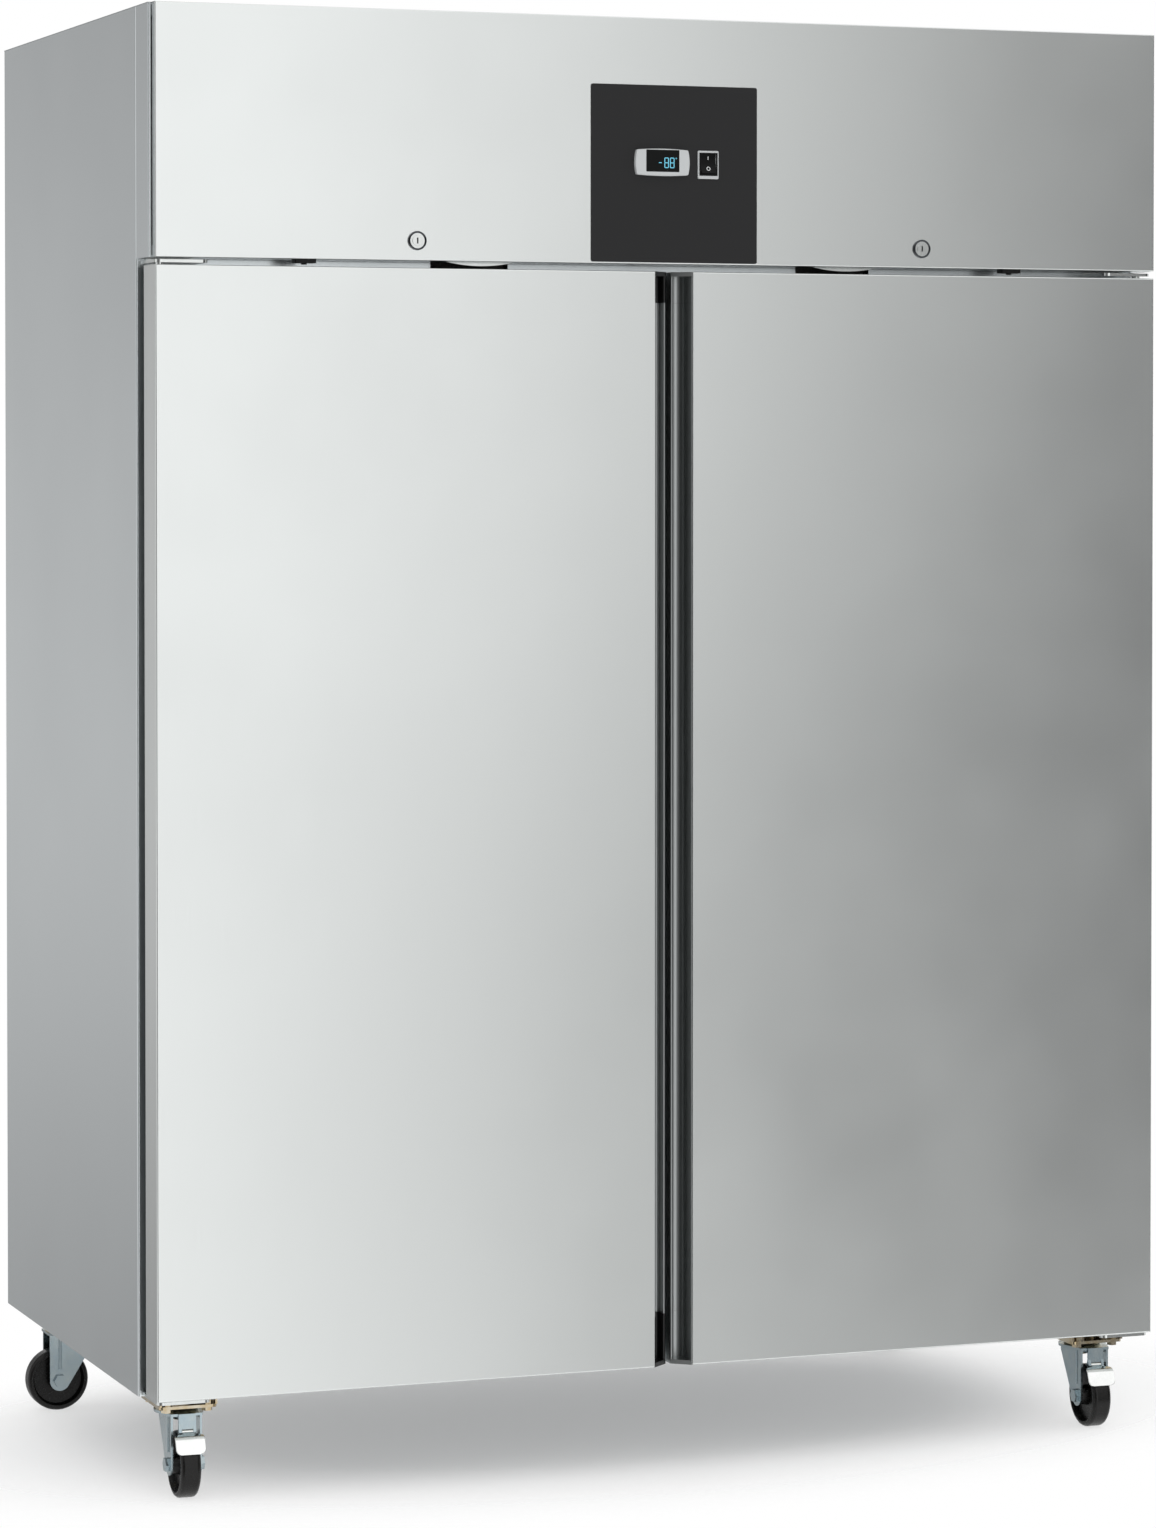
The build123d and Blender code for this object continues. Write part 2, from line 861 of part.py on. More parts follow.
def fascia_frame():
    """Side cheeks, and the rails above and below that the fascia is fixed to."""
    middle = half - sheet / 2
    hem = door_edge + 1
    front = fascia_side_return + 2
    back = frame_setback - 0.7
    points = ((hem, front), (middle, front), (middle, back), (half - cheek_width, back))
    cheeks = both_sides(folded_upright(points, sheet, fascia_bottom, lid_bottom, radius=1.5))
    rail_front = fascia_return + touch + rail_sheet / 2
    low = fascia_bottom + sheet
    high = lid_bottom - rail_sheet / 2
    upper_back = rail_back + 8
    width = half - sheet - foam_gap
    lower = ((rail_front, low + rail_height), (rail_front, low),
             (rail_back, low), (rail_back, low + rail_height))
    upper = ((rail_front, high - rail_height), (rail_front, high),
             (upper_back, high), (upper_back, high - rail_height))
    lower_rail = folded_across(lower, rail_sheet, -width, width)
    side = latch_width / 2 + 0.5
    for x in (-latch_x, latch_x):
        lower_rail -= block(x - side, x + side, latch_front - touch, latch_back + touch,
                            low - rail_sheet, low + rail_sheet)
    return cheeks + [lower_rail, folded_across(upper, rail_sheet, -width, width)]


def control_plate():
    """Dark square plate around the controls; its face is left plain."""
    z = fascia_bottom + 2
    side = plate_width / 2
    plate = panel(-side, side, z, z + plate_height, plate_corner, -plate_thick, 0)
    return plate - control_openings(touch, -plate_thick - over, over)


def bezel_outline():
    """Outline of the controller, with four slightly bowed sides."""
    x = bezel_width / 2
    z = bezel_height / 2
    corner_x = x - bezel_bow_x
    corner_z = z - bezel_bow_z
    outline = ThreePointArc((-corner_x, -corner_z), (0, -z), (corner_x, -corner_z))
    outline += ThreePointArc((corner_x, -corner_z), (x, 0), (corner_x, corner_z))
    outline += ThreePointArc((corner_x, corner_z), (0, z), (-corner_x, corner_z))
    outline += ThreePointArc((-corner_x, corner_z), (-x, 0), (-corner_x, -corner_z))
    face = make_face(outline)
    return fillet(face.vertices(), bezel_corner)


def controller_bezel():
    """Controller housing with a recess for its window."""
    body_x = cutout_width / 2
    body_z = cutout_height / 2
    body_back = 40
    front = facing(bezel_x, -plate_thick, control_z)
    bezel = extrude(front * bezel_outline(), proud - plate_thick)
    bezel = chamfer(bezel.faces().sort_by(Axis.Y)[0].edges(), edge_break)
    bezel += panel(bezel_x - body_x, bezel_x + body_x, control_z - body_z, control_z + body_z,
                   body_corner, -plate_thick, body_back)
    return bezel - window(touch / 2, -proud - over)


def window(margin, y0):
    """Space of the window, grown by a margin and open towards y0."""
    middle = control_z + window_lift
    corner = 1
    x = window_width / 2 + margin
    z = window_height / 2 + margin
    return panel(bezel_x - x, bezel_x + x, middle - z, middle + z, corner, y0, window_thick - proud)


def controller_window():
    """Clear window over the display."""
    sunk = 0.1
    return window(0, sunk - proud)


def switch_frame():
    """Housing of the power switch, open at the front for the rocker."""
    lip = 4
    back = 28
    shell = 2
    corner = 2
    x = switch_width / 2
    z = switch_height / 2
    side = switch_body_width / 2
    rise = switch_body_height / 2
    frame = panel(switch_x - x, switch_x + x, switch_z - z, switch_z + z, corner, -lip,
                  -plate_thick)
    frame = chamfer(frame.faces().sort_by(Axis.Y)[0].edges(), edge_break)
    frame += panel(switch_x - side, switch_x + side, switch_z - rise, switch_z + rise,
                   body_corner, -plate_thick, back)
    side -= shell
    rise -= shell
    frame -= panel(switch_x - side, switch_x + side, switch_z - rise, switch_z + rise,
                   body_corner, -lip - over, back - shell)
    journal = side + shell / 2
    bore_r = rocker_pin_r + running
    return frame - rod_x(rocker_y, switch_z, bore_r, switch_x - journal, switch_x + journal)


def power_rocker():
    """Rocker with a dished face, lying tipped to one side."""
    x = rocker_width / 2
    z = rocker_height / 2
    front = -9
    back = 8
    dish = 2.2
    back_z = z * 0.6
    pin_reach = x + 0.9
    outline = Polyline((front, z), (back, back_z), (back, -back_z), (front, -z))
    outline += ThreePointArc((front, -z), (front + dish, 0), (front, z))
    rocker = Pos(-x, 0, 0) * extrude(Plane.YZ * make_face(outline), 2 * x)
    rocker += rod_x(0, 0, rocker_pin_r, -pin_reach, pin_reach)
    return Pos(switch_x, rocker_y, switch_z) * Rot(-rocker_tilt, 0, 0) * rocker


# Locks, latches and door switches

def lock_bodies():
    """Barrel of each lock with its nut behind the fascia."""
    barrel = rod_y(lock_x, lock_z, lock_flange_r, -lock_flange, 0)
    barrel = chamfer(barrel.faces().sort_by(Axis.Y)[0].edges(), edge_break)
    barrel += rod_y(lock_x, lock_z, lock_body_r, 0, lock_body_length)
    barrel -= rod_y(lock_x, lock_z, plug_r + running, -lock_flange - over, lock_body_length + over)
    nut_back = 6.5
    nut_across = 25
    nut = extrude(facing(lock_x, nut_back, lock_z) * hexagon(nut_across), nut_back - sheet - touch)
    nut -= rod_y(lock_x, lock_z, lock_body_r + running, 0, nut_back + over)
    return both_sides(barrel) + both_sides(nut)


def lock_cylinder():
    """Key plug of the right lock, with the cam disc and crank pin behind it."""
    front = -lock_flange - 1
    disc_front = cam_back - cam_thick
    disc_r = crank_r + 3
    key_half = 1
    key_height = 4
    key_depth = 12
    plug = rod_y(0, 0, plug_r, front, disc_front + over)
    plug += rod_y(0, 0, disc_r, disc_front, cam_back)
    plug += rod_y(-crank_r, 0, crank_pin_r, cam_back - over, latch_back + over)
    return plug - block(-key_half, key_half, front - over, front + key_depth,
                        -key_height, key_height)


def latch():
    """Sliding plate of the right side: tab below, slot for the crank pin at its end."""
    left = latch_x - latch_width / 2
    right = latch_x + latch_width / 2
    low = fascia_bottom - latch_hang
    high = lock_z + 9
    outline = Polyline((left, fascia_bottom), (left, high), (right, high), (right, fascia_bottom))
    outline += ThreePointArc((right, fascia_bottom), (latch_x, low), (left, fascia_bottom))
    plate = extrude(facing(0, latch_back, 0) * make_face(outline), latch_back - latch_front)
    ear_end = lock_x + 9
    ear_low = lock_z - 10
    plate += block(right - over, ear_end, latch_front, latch_back, ear_low, high)
    pin_room = crank_pin_r + touch
    lost_motion = 2.7
    return plate - block(lock_x - crank_r - pin_room, lock_x + pin_room,
                         latch_front - over, latch_back + over,
                         lock_z - pin_room - lost_motion, lock_z + pin_room)


def door_switches():
    """Small switches under the lower rail that sense the doors."""
    x = lock_x + switch_offset
    middle = 31
    half_x = 15
    half_y = 9
    height = 5
    corner = 1.5
    button_r = 4
    button_reach = 2
    top = fascia_bottom + sheet - rail_sheet / 2
    low = top - height
    body = block(x - half_x, x + half_x, middle - half_y, middle + half_y, low, top)
    body = chamfer(body.edges().filter_by(Axis.Z), corner)
    return both_sides(body + rod_z(x, middle, button_r, low - button_reach, low + over))


# Doors, drawn for the right side

def door_skin():
    """Outer sheet of the door: face, outer side, top and bottom."""
    back = door_thick - sheet
    skin = block(grip_edge, door_edge, 0, back, door_bottom, door_top)
    front_edges = skin.faces().sort_by(Axis.Y)[0].edges().sort_by(Axis.X)
    skin = fillet(front_edges[1:], door_edge_round)
    skin -= block(grip_edge - over, door_edge - sheet, sheet, back + over,
                  door_bottom + sheet, door_top - sheet)
    skin -= rod_z(hinge_x, hinge_setback, bush_r + touch, door_bottom - over, door_top + over)
    return skin - keeper_slot(door_top - 2 * sheet, door_top + over)


def keeper_slot(z0, z1):
    """Slot that the latch drops into."""
    side = latch_width / 2 + 7
    return block(latch_x - side, latch_x + side, latch_front - 3, latch_back + 3, z0, z1)


def door_core():
    """Foam that fills the door."""
    fit = sheet + touch
    pocket_r = bush_r + foam_gap
    pocket = bush_length + 2
    behind_grip = meeting + 3
    below_latch = 4
    back = door_thick - sheet - touch
    core = block(grip_edge + touch, door_edge - fit, fit, back, door_bottom + fit, door_top - fit)
    core += block(behind_grip, grip_edge + over, grip_depth + foam_gap, back - grip_wall - touch,
                  door_bottom + grip_cap + over, door_top - grip_cap - over)
    core += door_pan(sheet + foam_gap, back - over, pan_height - sheet)
    core -= rod_z(hinge_x, hinge_setback, pocket_r, door_bottom, door_bottom + pocket)
    core -= rod_z(hinge_x, hinge_setback, pocket_r, door_top - pocket, door_top)
    return core - keeper_slot(door_top - latch_stroke - below_latch, door_top)


def door_pan(inset, y0, height):
    """Raised middle of the door liner, tapering towards the cabinet."""
    side = pan_inset + inset
    beside_seal = 40
    lower = 10
    higher = 25
    corner = 25
    x0 = meeting + gasket_inset_meeting + gasket_width + beside_seal + inset
    x1 = door_edge - side
    z0 = door_bottom + side - lower
    z1 = door_top - side + higher
    plane = Plane(origin=((x0 + x1) / 2, y0, (z0 + z1) / 2), x_dir=(-1, 0, 0), z_dir=(0, 1, 0))
    outline = RectangleRounded(x1 - x0, z1 - z0, corner)
    return extrude(plane * outline, height + door_thick - sheet - y0, taper=pan_taper)


def door_liner():
    """Inner sheet of the door, with its pressed middle."""
    face = door_thick - sheet
    liner = block(meeting, door_edge, face, door_thick, door_bottom, door_top)
    liner += door_pan(0, face, pan_height)
    return liner - door_pan(sheet, face - touch, pan_height - sheet)


def door_gasket():
    """Magnetic seal round the door, with a narrow neck."""
    foot = door_thick + 4
    back = frame_setback - 0.3
    head = back - 6
    neck_inset = (gasket_width - gasket_neck) / 2
    seal = gasket_ring(0, gasket_width, door_thick, foot)
    seal += gasket_ring(0, gasket_width, head, back)
    return seal + gasket_ring(neck_inset, gasket_neck, foot, head)


def gasket_ring(inset, width, y0, y1):
    """One layer of the seal."""
    margin = 1
    outer_corner = 6
    inner_corner = 3
    x0 = meeting + gasket_inset_meeting + inset
    x1 = door_edge - gasket_inset - inset
    z0 = door_bottom + gasket_inset + margin + inset
    z1 = door_top - gasket_inset - margin - inset
    outer = panel(x0, x1, z0, z1, outer_corner, y0, y1)
    return outer - panel(x0 + width, x1 - width, z0 + width, z1 - width, inner_corner,
                         y0 - over, y1 + over)


def door_grip():
    """Grip profile with its lip, and an end piece at the top and at the bottom."""
    seam = 0.3
    t = grip_wall
    back = door_thick - sheet
    side = grip_edge - touch - t / 2
    floor = grip_depth - t / 2
    lip = grip_lip_setback + t / 2
    outer = meeting + t / 2
    inner = meeting + grip_lip_width - t / 2
    front = 2
    path = FilletPolyline(
        (side, front), (side, floor), (inner, floor), (inner, lip), (outer, lip),
        (outer, back - t / 2), (outer + grip_flange, back - t / 2),
        radius=[grip_curve, 4, 1.5, 1.5, 2],
    )
    section = trace(path, line_width=t)
    wide = side + t / 2
    cap = make_face(Polyline(
        (wide, front), (wide, back), (meeting, back), (meeting, grip_lip_setback), (wide, front),
    ))
    low = door_bottom + grip_bottom_end
    high = door_top - grip_top_end
    bottom_end = Pos(0, 0, door_bottom) * (extrude(cap, grip_cap) + extrude(section, grip_bottom_end))
    middle = Pos(0, 0, low + seam) * extrude(section, high - low - 2 * seam)
    top_end = Pos(0, 0, high) * extrude(section, grip_top_end)
    top_end += Pos(0, 0, door_top - grip_cap) * extrude(cap, grip_cap)
    return [bottom_end, middle, top_end]


def door_bushes():
    """Plain bearings in the top and bottom edges of the door."""
    flange_r = bush_r + 2
    top = rod_z(hinge_x, hinge_setback, bush_r, door_top - bush_length, door_top)
    top += rod_z(hinge_x, hinge_setback, flange_r, door_top, door_top + bush_flange)
    low = rod_z(hinge_x, hinge_setback, bush_r, door_bottom, door_bottom + bush_length)
    low += rod_z(hinge_x, hinge_setback, flange_r, door_bottom - bush_flange, door_bottom)
    bore_r = hinge_pin_r + running
    bore = rod_z(hinge_x, hinge_setback, bore_r, door_bottom - 2 * over, door_top + 2 * over)
    return [top - bore, low - bore]


def hinge_brackets():
    """Angle plates on the front frame that carry the pivot pins of the doors."""
    x1 = half - 7
    x0 = x1 - hinge_reach
    front = 6
    depth = frame_setback - front
    corner = 8
    leg_x = x1 - 6
    leg_y = frame_setback - hinge_plate
    outline = Pos((x0 + x1) / 2, front + depth / 2) * RectangleRounded(x1 - x0, depth, corner)
    top_z = door_top + 3
    top = Pos(0, 0, top_z) * extrude(outline, hinge_plate)
    top += block(x0, leg_x, leg_y, frame_setback, top_z, top_z + hinge_leg)
    top += rod_z(hinge_x, hinge_setback, hinge_pin_r, top_z - hinge_pin_length, top_z + over)
    low_z = underside + 0.5
    low_top = low_z + hinge_plate
    low = Pos(0, 0, low_z) * extrude(outline, hinge_plate)
    low += block(x0, leg_x, leg_y, frame_setback, low_z, low_z + hinge_leg)
    low += rod_z(hinge_x, hinge_setback, hinge_pin_r, low_top - over, low_top + hinge_pin_length)
    return both_sides(top) + both_sides(low)


# Castors, drawn with the swivel axis at x = y = 0 and the wheel trailing forward

def castor_plate():
    """Top plate with the fixed half of the ball race and the king pin."""
    corner = 6
    rivet_r = kingpin_r + 3
    rivet_round = 2
    race_top_r = race_r
    race_low_r = race_r - 4
    plate = extrude(RectangleRounded(plate_x, plate_y, corner), castor_plate_thick)
    for place in GridLocations(bolt_x, bolt_y, 2, 2):
        plate -= place * extrude(Circle(bolt_r + touch), castor_plate_thick)
    plate = Pos(0, 0, castor_plate_bottom) * plate
    plate += Pos(0, 0, race_bottom + race_height / 2) * Cone(race_low_r, race_top_r, race_height)
    plate += rod_z(0, 0, kingpin_r, rivet_low, race_bottom + over)
    rivet = rod_z(0, 0, rivet_r, rivet_low, rivet_low + rivet_height)
    return plate + fillet(rivet.edges().sort_by(Axis.Z)[0], rivet_round)


def castor_mount():
    """Channel between the cabinet and the castor plate, open at the front and back."""
    x = plate_x / 2
    y = plate_y / 2
    w = bracket_wall
    web = underside - w
    channel = block(-x, x, -y, y, castor_plate_top, underside)
    channel -= block(-x + w, x - w, -y - over, y + over, castor_plate_top - over, web)
    for place in GridLocations(bolt_x, bolt_y, 2, 2):
        channel -= Pos(0, 0, web - over) * place * extrude(Circle(bolt_r + touch), w + 2 * over)
    return channel


def castor_bolts():
    """Four bolts through plate and channel, each with its nut."""
    head = 5.3
    nut = 6.5
    bolt = Pos(0, 0, castor_plate_bottom - head) * extrude(hexagon(bolt_across), head)
    bolt += rod_z(0, 0, bolt_r, castor_plate_bottom - over, underside - touch)
    bolt += Pos(0, 0, castor_plate_top) * extrude(hexagon(bolt_across), nut)
    return [place * bolt for place in GridLocations(bolt_x, bolt_y, 2, 2)]


def castor_fork():
    """Pressed fork with its swivel head."""
    flat = 3.6
    skirt_r = 20
    skirt_bottom = rivet_low + rivet_height + race_gap
    rib_r = 2.2
    eye_r = 15
    shoulder_y = 26
    shoulder_z = wheel_top + 13
    outer = fork_inner + fork_thick
    front = -fork_front - 2
    corners = Polyline((-outer, 0), (-outer, front), (outer, front), (outer, 0))
    outline = make_hull(Circle(head_r).edges() + corners.edges())
    fork = Pos(0, 0, fork_top - flat) * extrude(outline, flat)
    fork += rod_z(0, 0, skirt_r, skirt_bottom, fork_top - flat + over)
    fork -= rod_z(0, 0, kingpin_r + running, skirt_bottom - over, fork_top + over)
    eye = Pos(-castor_trail, wheel_r) * Circle(eye_r)
    shoulder = Polyline((-fork_front, fork_top - over), (shoulder_y, fork_top - over),
                        (shoulder_y, shoulder_z))
    leg_face = make_hull(eye.edges() + shoulder.edges())
    leg = Pos(fork_inner, 0, 0) * extrude(Plane.YZ * leg_face, fork_thick)
    leg += rod_z(outer, -castor_trail, rib_r, wheel_r + eye_r + 2, fork_top - flat)
    leg -= rod_x(-castor_trail, wheel_r, axle_r + running, fork_inner - over, outer + over)
    return fork + both_sides(leg)


def castor_axle():
    """Axle bolt with its head and nut."""
    head = 5.5
    across = 17
    face = fork_inner + fork_thick + touch / 2
    axle = rod_x(-castor_trail, wheel_r, axle_r, -face - head, face + head)
    for side in (-face - head, face):
        nut = Plane.YZ * Pos(-castor_trail, wheel_r) * hexagon(across)
        axle += Pos(side, 0, 0) * extrude(nut, head)
    return axle


def pedal_mount():
    """Upright plate on the fork with two lugs and the hinge pin of the brake pedal."""
    back = pedal_y + 1.4
    front = back - fork_thick
    side = 12
    lug_x = 8
    base = wheel_top + 5
    plate = block(-side, side, front, back, base, fork_top)
    lug_top = Polyline((front, base + 4), (back, base + 4))
    lug_face = make_hull((Pos(pedal_y, pedal_z) * Circle(knuckle_r)).edges() + lug_top.edges())
    lug = Pos(lug_x, 0, 0) * extrude(Plane.YZ * lug_face, side - lug_x)
    return [plate, *both_sides(lug), rod_x(pedal_y, pedal_z, knuckle_pin_r, -side, side)]


def castor_pedal():
    """Brake pedal, hinged between the lugs of the fork."""
    slope = math.radians(pedal_slope)
    plane = Plane(origin=(0, pedal_y, pedal_z), x_dir=(1, 0, 0),
                  z_dir=(0, -math.cos(slope), math.sin(slope)))
    neck_half = 7.6
    pad_start = 9
    lift = 0.5
    thick = 2.5
    neck_length = pad_start + 2
    corner = 8
    neck = Pos(0, -neck_length / 2) * Rectangle(2 * neck_half, neck_length)
    pad_middle = -(pad_start + pedal_length) / 2
    pad = Pos(0, pad_middle) * RectangleRounded(pedal_width, pedal_length - pad_start, corner)
    pedal = plane * Pos(0, 0, lift) * extrude(neck + pad, thick)
    pedal += rod_x(pedal_y, pedal_z, knuckle_r, -neck_half, neck_half)
    bore_half = neck_half + over
    return pedal - rod_x(pedal_y, pedal_z, knuckle_pin_r + running, -bore_half, bore_half)


def castor_wheel():
    """One-piece wheel with a crowned tread and recessed sides."""
    tread = wheel_width / 2
    bore = axle_r + running
    hub_r = 12
    web = 6
    web_low = hub_r + 3
    rim_r = wheel_r - 7
    web_high = rim_r - 3
    shoulder = 6
    outline = Polyline(
        (-hub_half, bore), (-hub_half, hub_r), (-web, web_low), (-web, web_high),
        (-tread, rim_r), (-tread, wheel_r), (tread, wheel_r), (tread, rim_r),
        (web, web_high), (web, web_low), (hub_half, hub_r), (hub_half, bore), close=True,
    )
    section = make_face(outline)
    section = fillet(section.vertices().group_by(Axis.Y)[-1], shoulder)
    wheel = revolve(Plane.XZ * section, Axis.X)
    return Pos(0, -castor_trail, wheel_r) * wheel


def save_castors():
    """All castor pieces, each castor turned as it stands."""
    fork = castor_fork()
    braked_fork = fork + pedal_mount()
    plates = []
    mounts = []
    for name, x, y, turn in castors:
        spot = Pos(x, y, 0)
        turned = spot * Rot(0, 0, turn)
        has_brake = name.startswith("front")
        plates.append(spot * castor_plate())
        mounts += [spot * castor_mount()] + [spot * bolt for bolt in castor_bolts()]
        body = braked_fork if has_brake else fork
        save(f"castor_fork_{name}", [turned * body, turned * castor_axle()])
        save(f"castor_wheel_{name}", turned * castor_wheel())
        if has_brake:
            save(f"castor_pedal_{name}", turned * castor_pedal())
    save("castor_plates", plates)
    save("castor_mounts", mounts)


# Save every piece

cabinet_pieces = (
    side_panels, back_panel, bottom_panel, front_frame, mullion, insulation, inner_liner,
    shelf_uprights, shelf_runners, wire_shelves,
    evaporator_cover, evaporator, evaporator_fan, condenser_fan, fan_motors,
    unit_tray, top_cover, compressor, condenser, refrigerant_pipes, electrical_box, cable_gland,
    fascia, fascia_frame, control_plate, controller_bezel, controller_window,
    switch_frame, power_rocker, lock_bodies, door_switches, hinge_brackets,
)
for make in cabinet_pieces:
    save(make.__name__, make())

door_pieces = (door_skin, door_core, door_liner, door_gasket, door_grip, door_bushes)
for make in door_pieces:
    right_side = make()
    solids = right_side if isinstance(right_side, list) else [right_side]
    kind = make.__name__.removeprefix("door_")
    save(f"door_right_{kind}", solids)
    save(f"door_left_{kind}", [mirrored(solid) for solid in solids])

right_plug = Pos(lock_x, 0, lock_z) * lock_cylinder()
save("lock_cylinder_right", right_plug)
save("lock_cylinder_left", mirrored(right_plug))
save("latch_right", latch())
save("latch_left", mirrored(latch()))
save_castors()
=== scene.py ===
"""Looks of an upright two-door refrigerator on castors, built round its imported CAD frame."""

import json
import math

import bmesh
import bpy
from mathutils import Matrix, Vector
from mathutils.bvhtree import BVHTree


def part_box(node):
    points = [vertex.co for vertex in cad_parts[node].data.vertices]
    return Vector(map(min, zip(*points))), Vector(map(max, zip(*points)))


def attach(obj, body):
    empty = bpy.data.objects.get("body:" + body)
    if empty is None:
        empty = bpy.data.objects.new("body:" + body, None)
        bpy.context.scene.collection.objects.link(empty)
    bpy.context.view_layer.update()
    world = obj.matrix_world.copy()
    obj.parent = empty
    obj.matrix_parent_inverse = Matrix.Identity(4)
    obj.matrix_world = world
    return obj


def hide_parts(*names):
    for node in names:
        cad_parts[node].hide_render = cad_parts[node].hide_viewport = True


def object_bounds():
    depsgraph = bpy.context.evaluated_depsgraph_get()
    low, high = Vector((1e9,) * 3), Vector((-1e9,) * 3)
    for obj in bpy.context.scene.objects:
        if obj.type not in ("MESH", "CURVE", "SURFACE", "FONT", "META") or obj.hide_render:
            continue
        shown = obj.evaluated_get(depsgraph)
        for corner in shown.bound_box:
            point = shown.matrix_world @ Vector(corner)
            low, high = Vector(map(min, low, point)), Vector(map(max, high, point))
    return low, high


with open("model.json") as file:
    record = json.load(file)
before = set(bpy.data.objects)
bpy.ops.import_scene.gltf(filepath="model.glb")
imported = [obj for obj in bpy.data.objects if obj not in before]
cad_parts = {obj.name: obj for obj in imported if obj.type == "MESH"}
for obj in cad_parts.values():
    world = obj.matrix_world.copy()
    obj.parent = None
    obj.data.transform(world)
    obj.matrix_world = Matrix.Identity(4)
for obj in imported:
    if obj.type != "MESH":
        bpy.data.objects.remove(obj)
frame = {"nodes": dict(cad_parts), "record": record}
cad_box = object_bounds()
nodes = frame["nodes"]
mm = 0.001

# Sockets of a colour Mix node, whose names repeat
first_colour = 6
second_colour = 7
mixed_colour = 2


def linear(code, alpha=1.0):
    """An sRGB hex colour as linear values."""
    def channel(start):
        value = int(code[start:start + 2], 16) / 255
        return value / 12.92 if value <= 0.04045 else ((value + 0.055) / 1.055) ** 2.4
    return (channel(0), channel(2), channel(4), alpha)


def feed(tree, made, inputs):
    """Gives inputs of a node their values, or links them to the sockets that feed them."""
    for name, value in inputs.items():
        if isinstance(value, bpy.types.NodeSocket):
            tree.links.new(value, made.inputs[name])
        else:
            made.inputs[name].default_value = value


def node(tree, kind, inputs=None, **settings):
    """Adds a node with its settings, values and links."""
    made = tree.nodes.new(kind)
    for name, value in settings.items():
        setattr(made, name, value)
    feed(tree, made, inputs or {})
    return made


def new_material(name):
    """A material, its node tree, its shader and the place on the object in metres."""
    material = bpy.data.materials.new(name)
    material.use_nodes = True
    tree = material.node_tree
    place = node(tree, "ShaderNodeTexCoord").outputs["Object"]
    return material, tree, tree.nodes["Principled BSDF"], place


# Metals

def brushed_stainless(name, tone, streak, roughness, along):
    """Stainless sheet with a satin grain: fine streaks along the sheet that soften reflections.

    The real grain is about 0.1 mm wide; it is drawn 1 mm wide to show in a render."""
    material, tree, shader, place = new_material(name)
    width, length, cloud = 1 * mm, 140 * mm, 260 * mm
    scale = [1 / length if axis == along else 1 / width for axis in "xyz"]
    laid = node(tree, "ShaderNodeMapping", {"Vector": place, "Scale": scale})
    grain = node(tree, "ShaderNodeTexNoise",
                 {"Vector": laid.outputs["Vector"], "Scale": 1.0, "Detail": 3.0})
    colour = node(tree, "ShaderNodeMix",
                  {"Factor": grain.outputs["Fac"], first_colour: linear(streak),
                   second_colour: linear(tone)}, data_type="RGBA")
    clouds = node(tree, "ShaderNodeTexNoise", {"Vector": place, "Scale": 1 / cloud})
    gloss = node(tree, "ShaderNodeMapRange",
                 {"Value": clouds.outputs["Fac"], "To Min": roughness - 0.04,
                  "To Max": roughness + 0.04})
    relief = node(tree, "ShaderNodeBump", {"Height": grain.outputs["Fac"], "Distance": 0.002 * mm})
    feed(tree, shader, {"Base Color": colour.outputs[mixed_colour], "Metallic": 1.0,
                        "Roughness": gloss.outputs["Result"], "Normal": relief.outputs["Normal"]})
    return material


def zinc_plated(name, tone, warm, roughness):
    """Pressed steel with bright zinc plating: a clouded tint over fine hammered unevenness."""
    material, tree, shader, place = new_material(name)
    cloud, unevenness = 14 * mm, 1.5 * mm
    tint = node(tree, "ShaderNodeTexNoise", {"Vector": place, "Scale": 1 / cloud, "Detail": 3.0})
    colour = node(tree, "ShaderNodeMix",
                  {"Factor": tint.outputs["Fac"], first_colour: linear(tone),
                   second_colour: linear(warm)}, data_type="RGBA")
    grit = node(tree, "ShaderNodeTexNoise",
                {"Vector": place, "Scale": 1 / unevenness, "Detail": 4.0})
    gloss = node(tree, "ShaderNodeMapRange",
                 {"Value": grit.outputs["Fac"], "To Min": roughness - 0.1, "To Max": roughness + 0.1})
    relief = node(tree, "ShaderNodeBump", {"Height": grit.outputs["Fac"], "Distance": 0.012 * mm})
    feed(tree, shader, {"Base Color": colour.outputs[mixed_colour], "Metallic": 1.0,
                        "Roughness": gloss.outputs["Result"], "Normal": relief.outputs["Normal"]})
    return material


def galvanised(name, tone, bright):
    """Hot-dip zinc sheet: dull grey with flake-like spangle about 8 mm across."""
    material, tree, shader, place = new_material(name)
    spangle = 8 * mm
    cells = node(tree, "ShaderNodeTexVoronoi", {"Vector": place, "Scale": 1 / spangle})
    flake = node(tree, "ShaderNodeSeparateColor", {"Color": cells.outputs["Color"]}).outputs["Red"]
    colour = node(tree, "ShaderNodeMix",
                  {"Factor": flake, first_colour: linear(tone), second_colour: linear(bright)},
                  data_type="RGBA")
    gloss = node(tree, "ShaderNodeMapRange", {"Value": flake, "To Min": 0.34, "To Max": 0.5})
    feed(tree, shader, {"Base Color": colour.outputs[mixed_colour], "Metallic": 1.0,
                        "Roughness": gloss.outputs["Result"]})
    return material


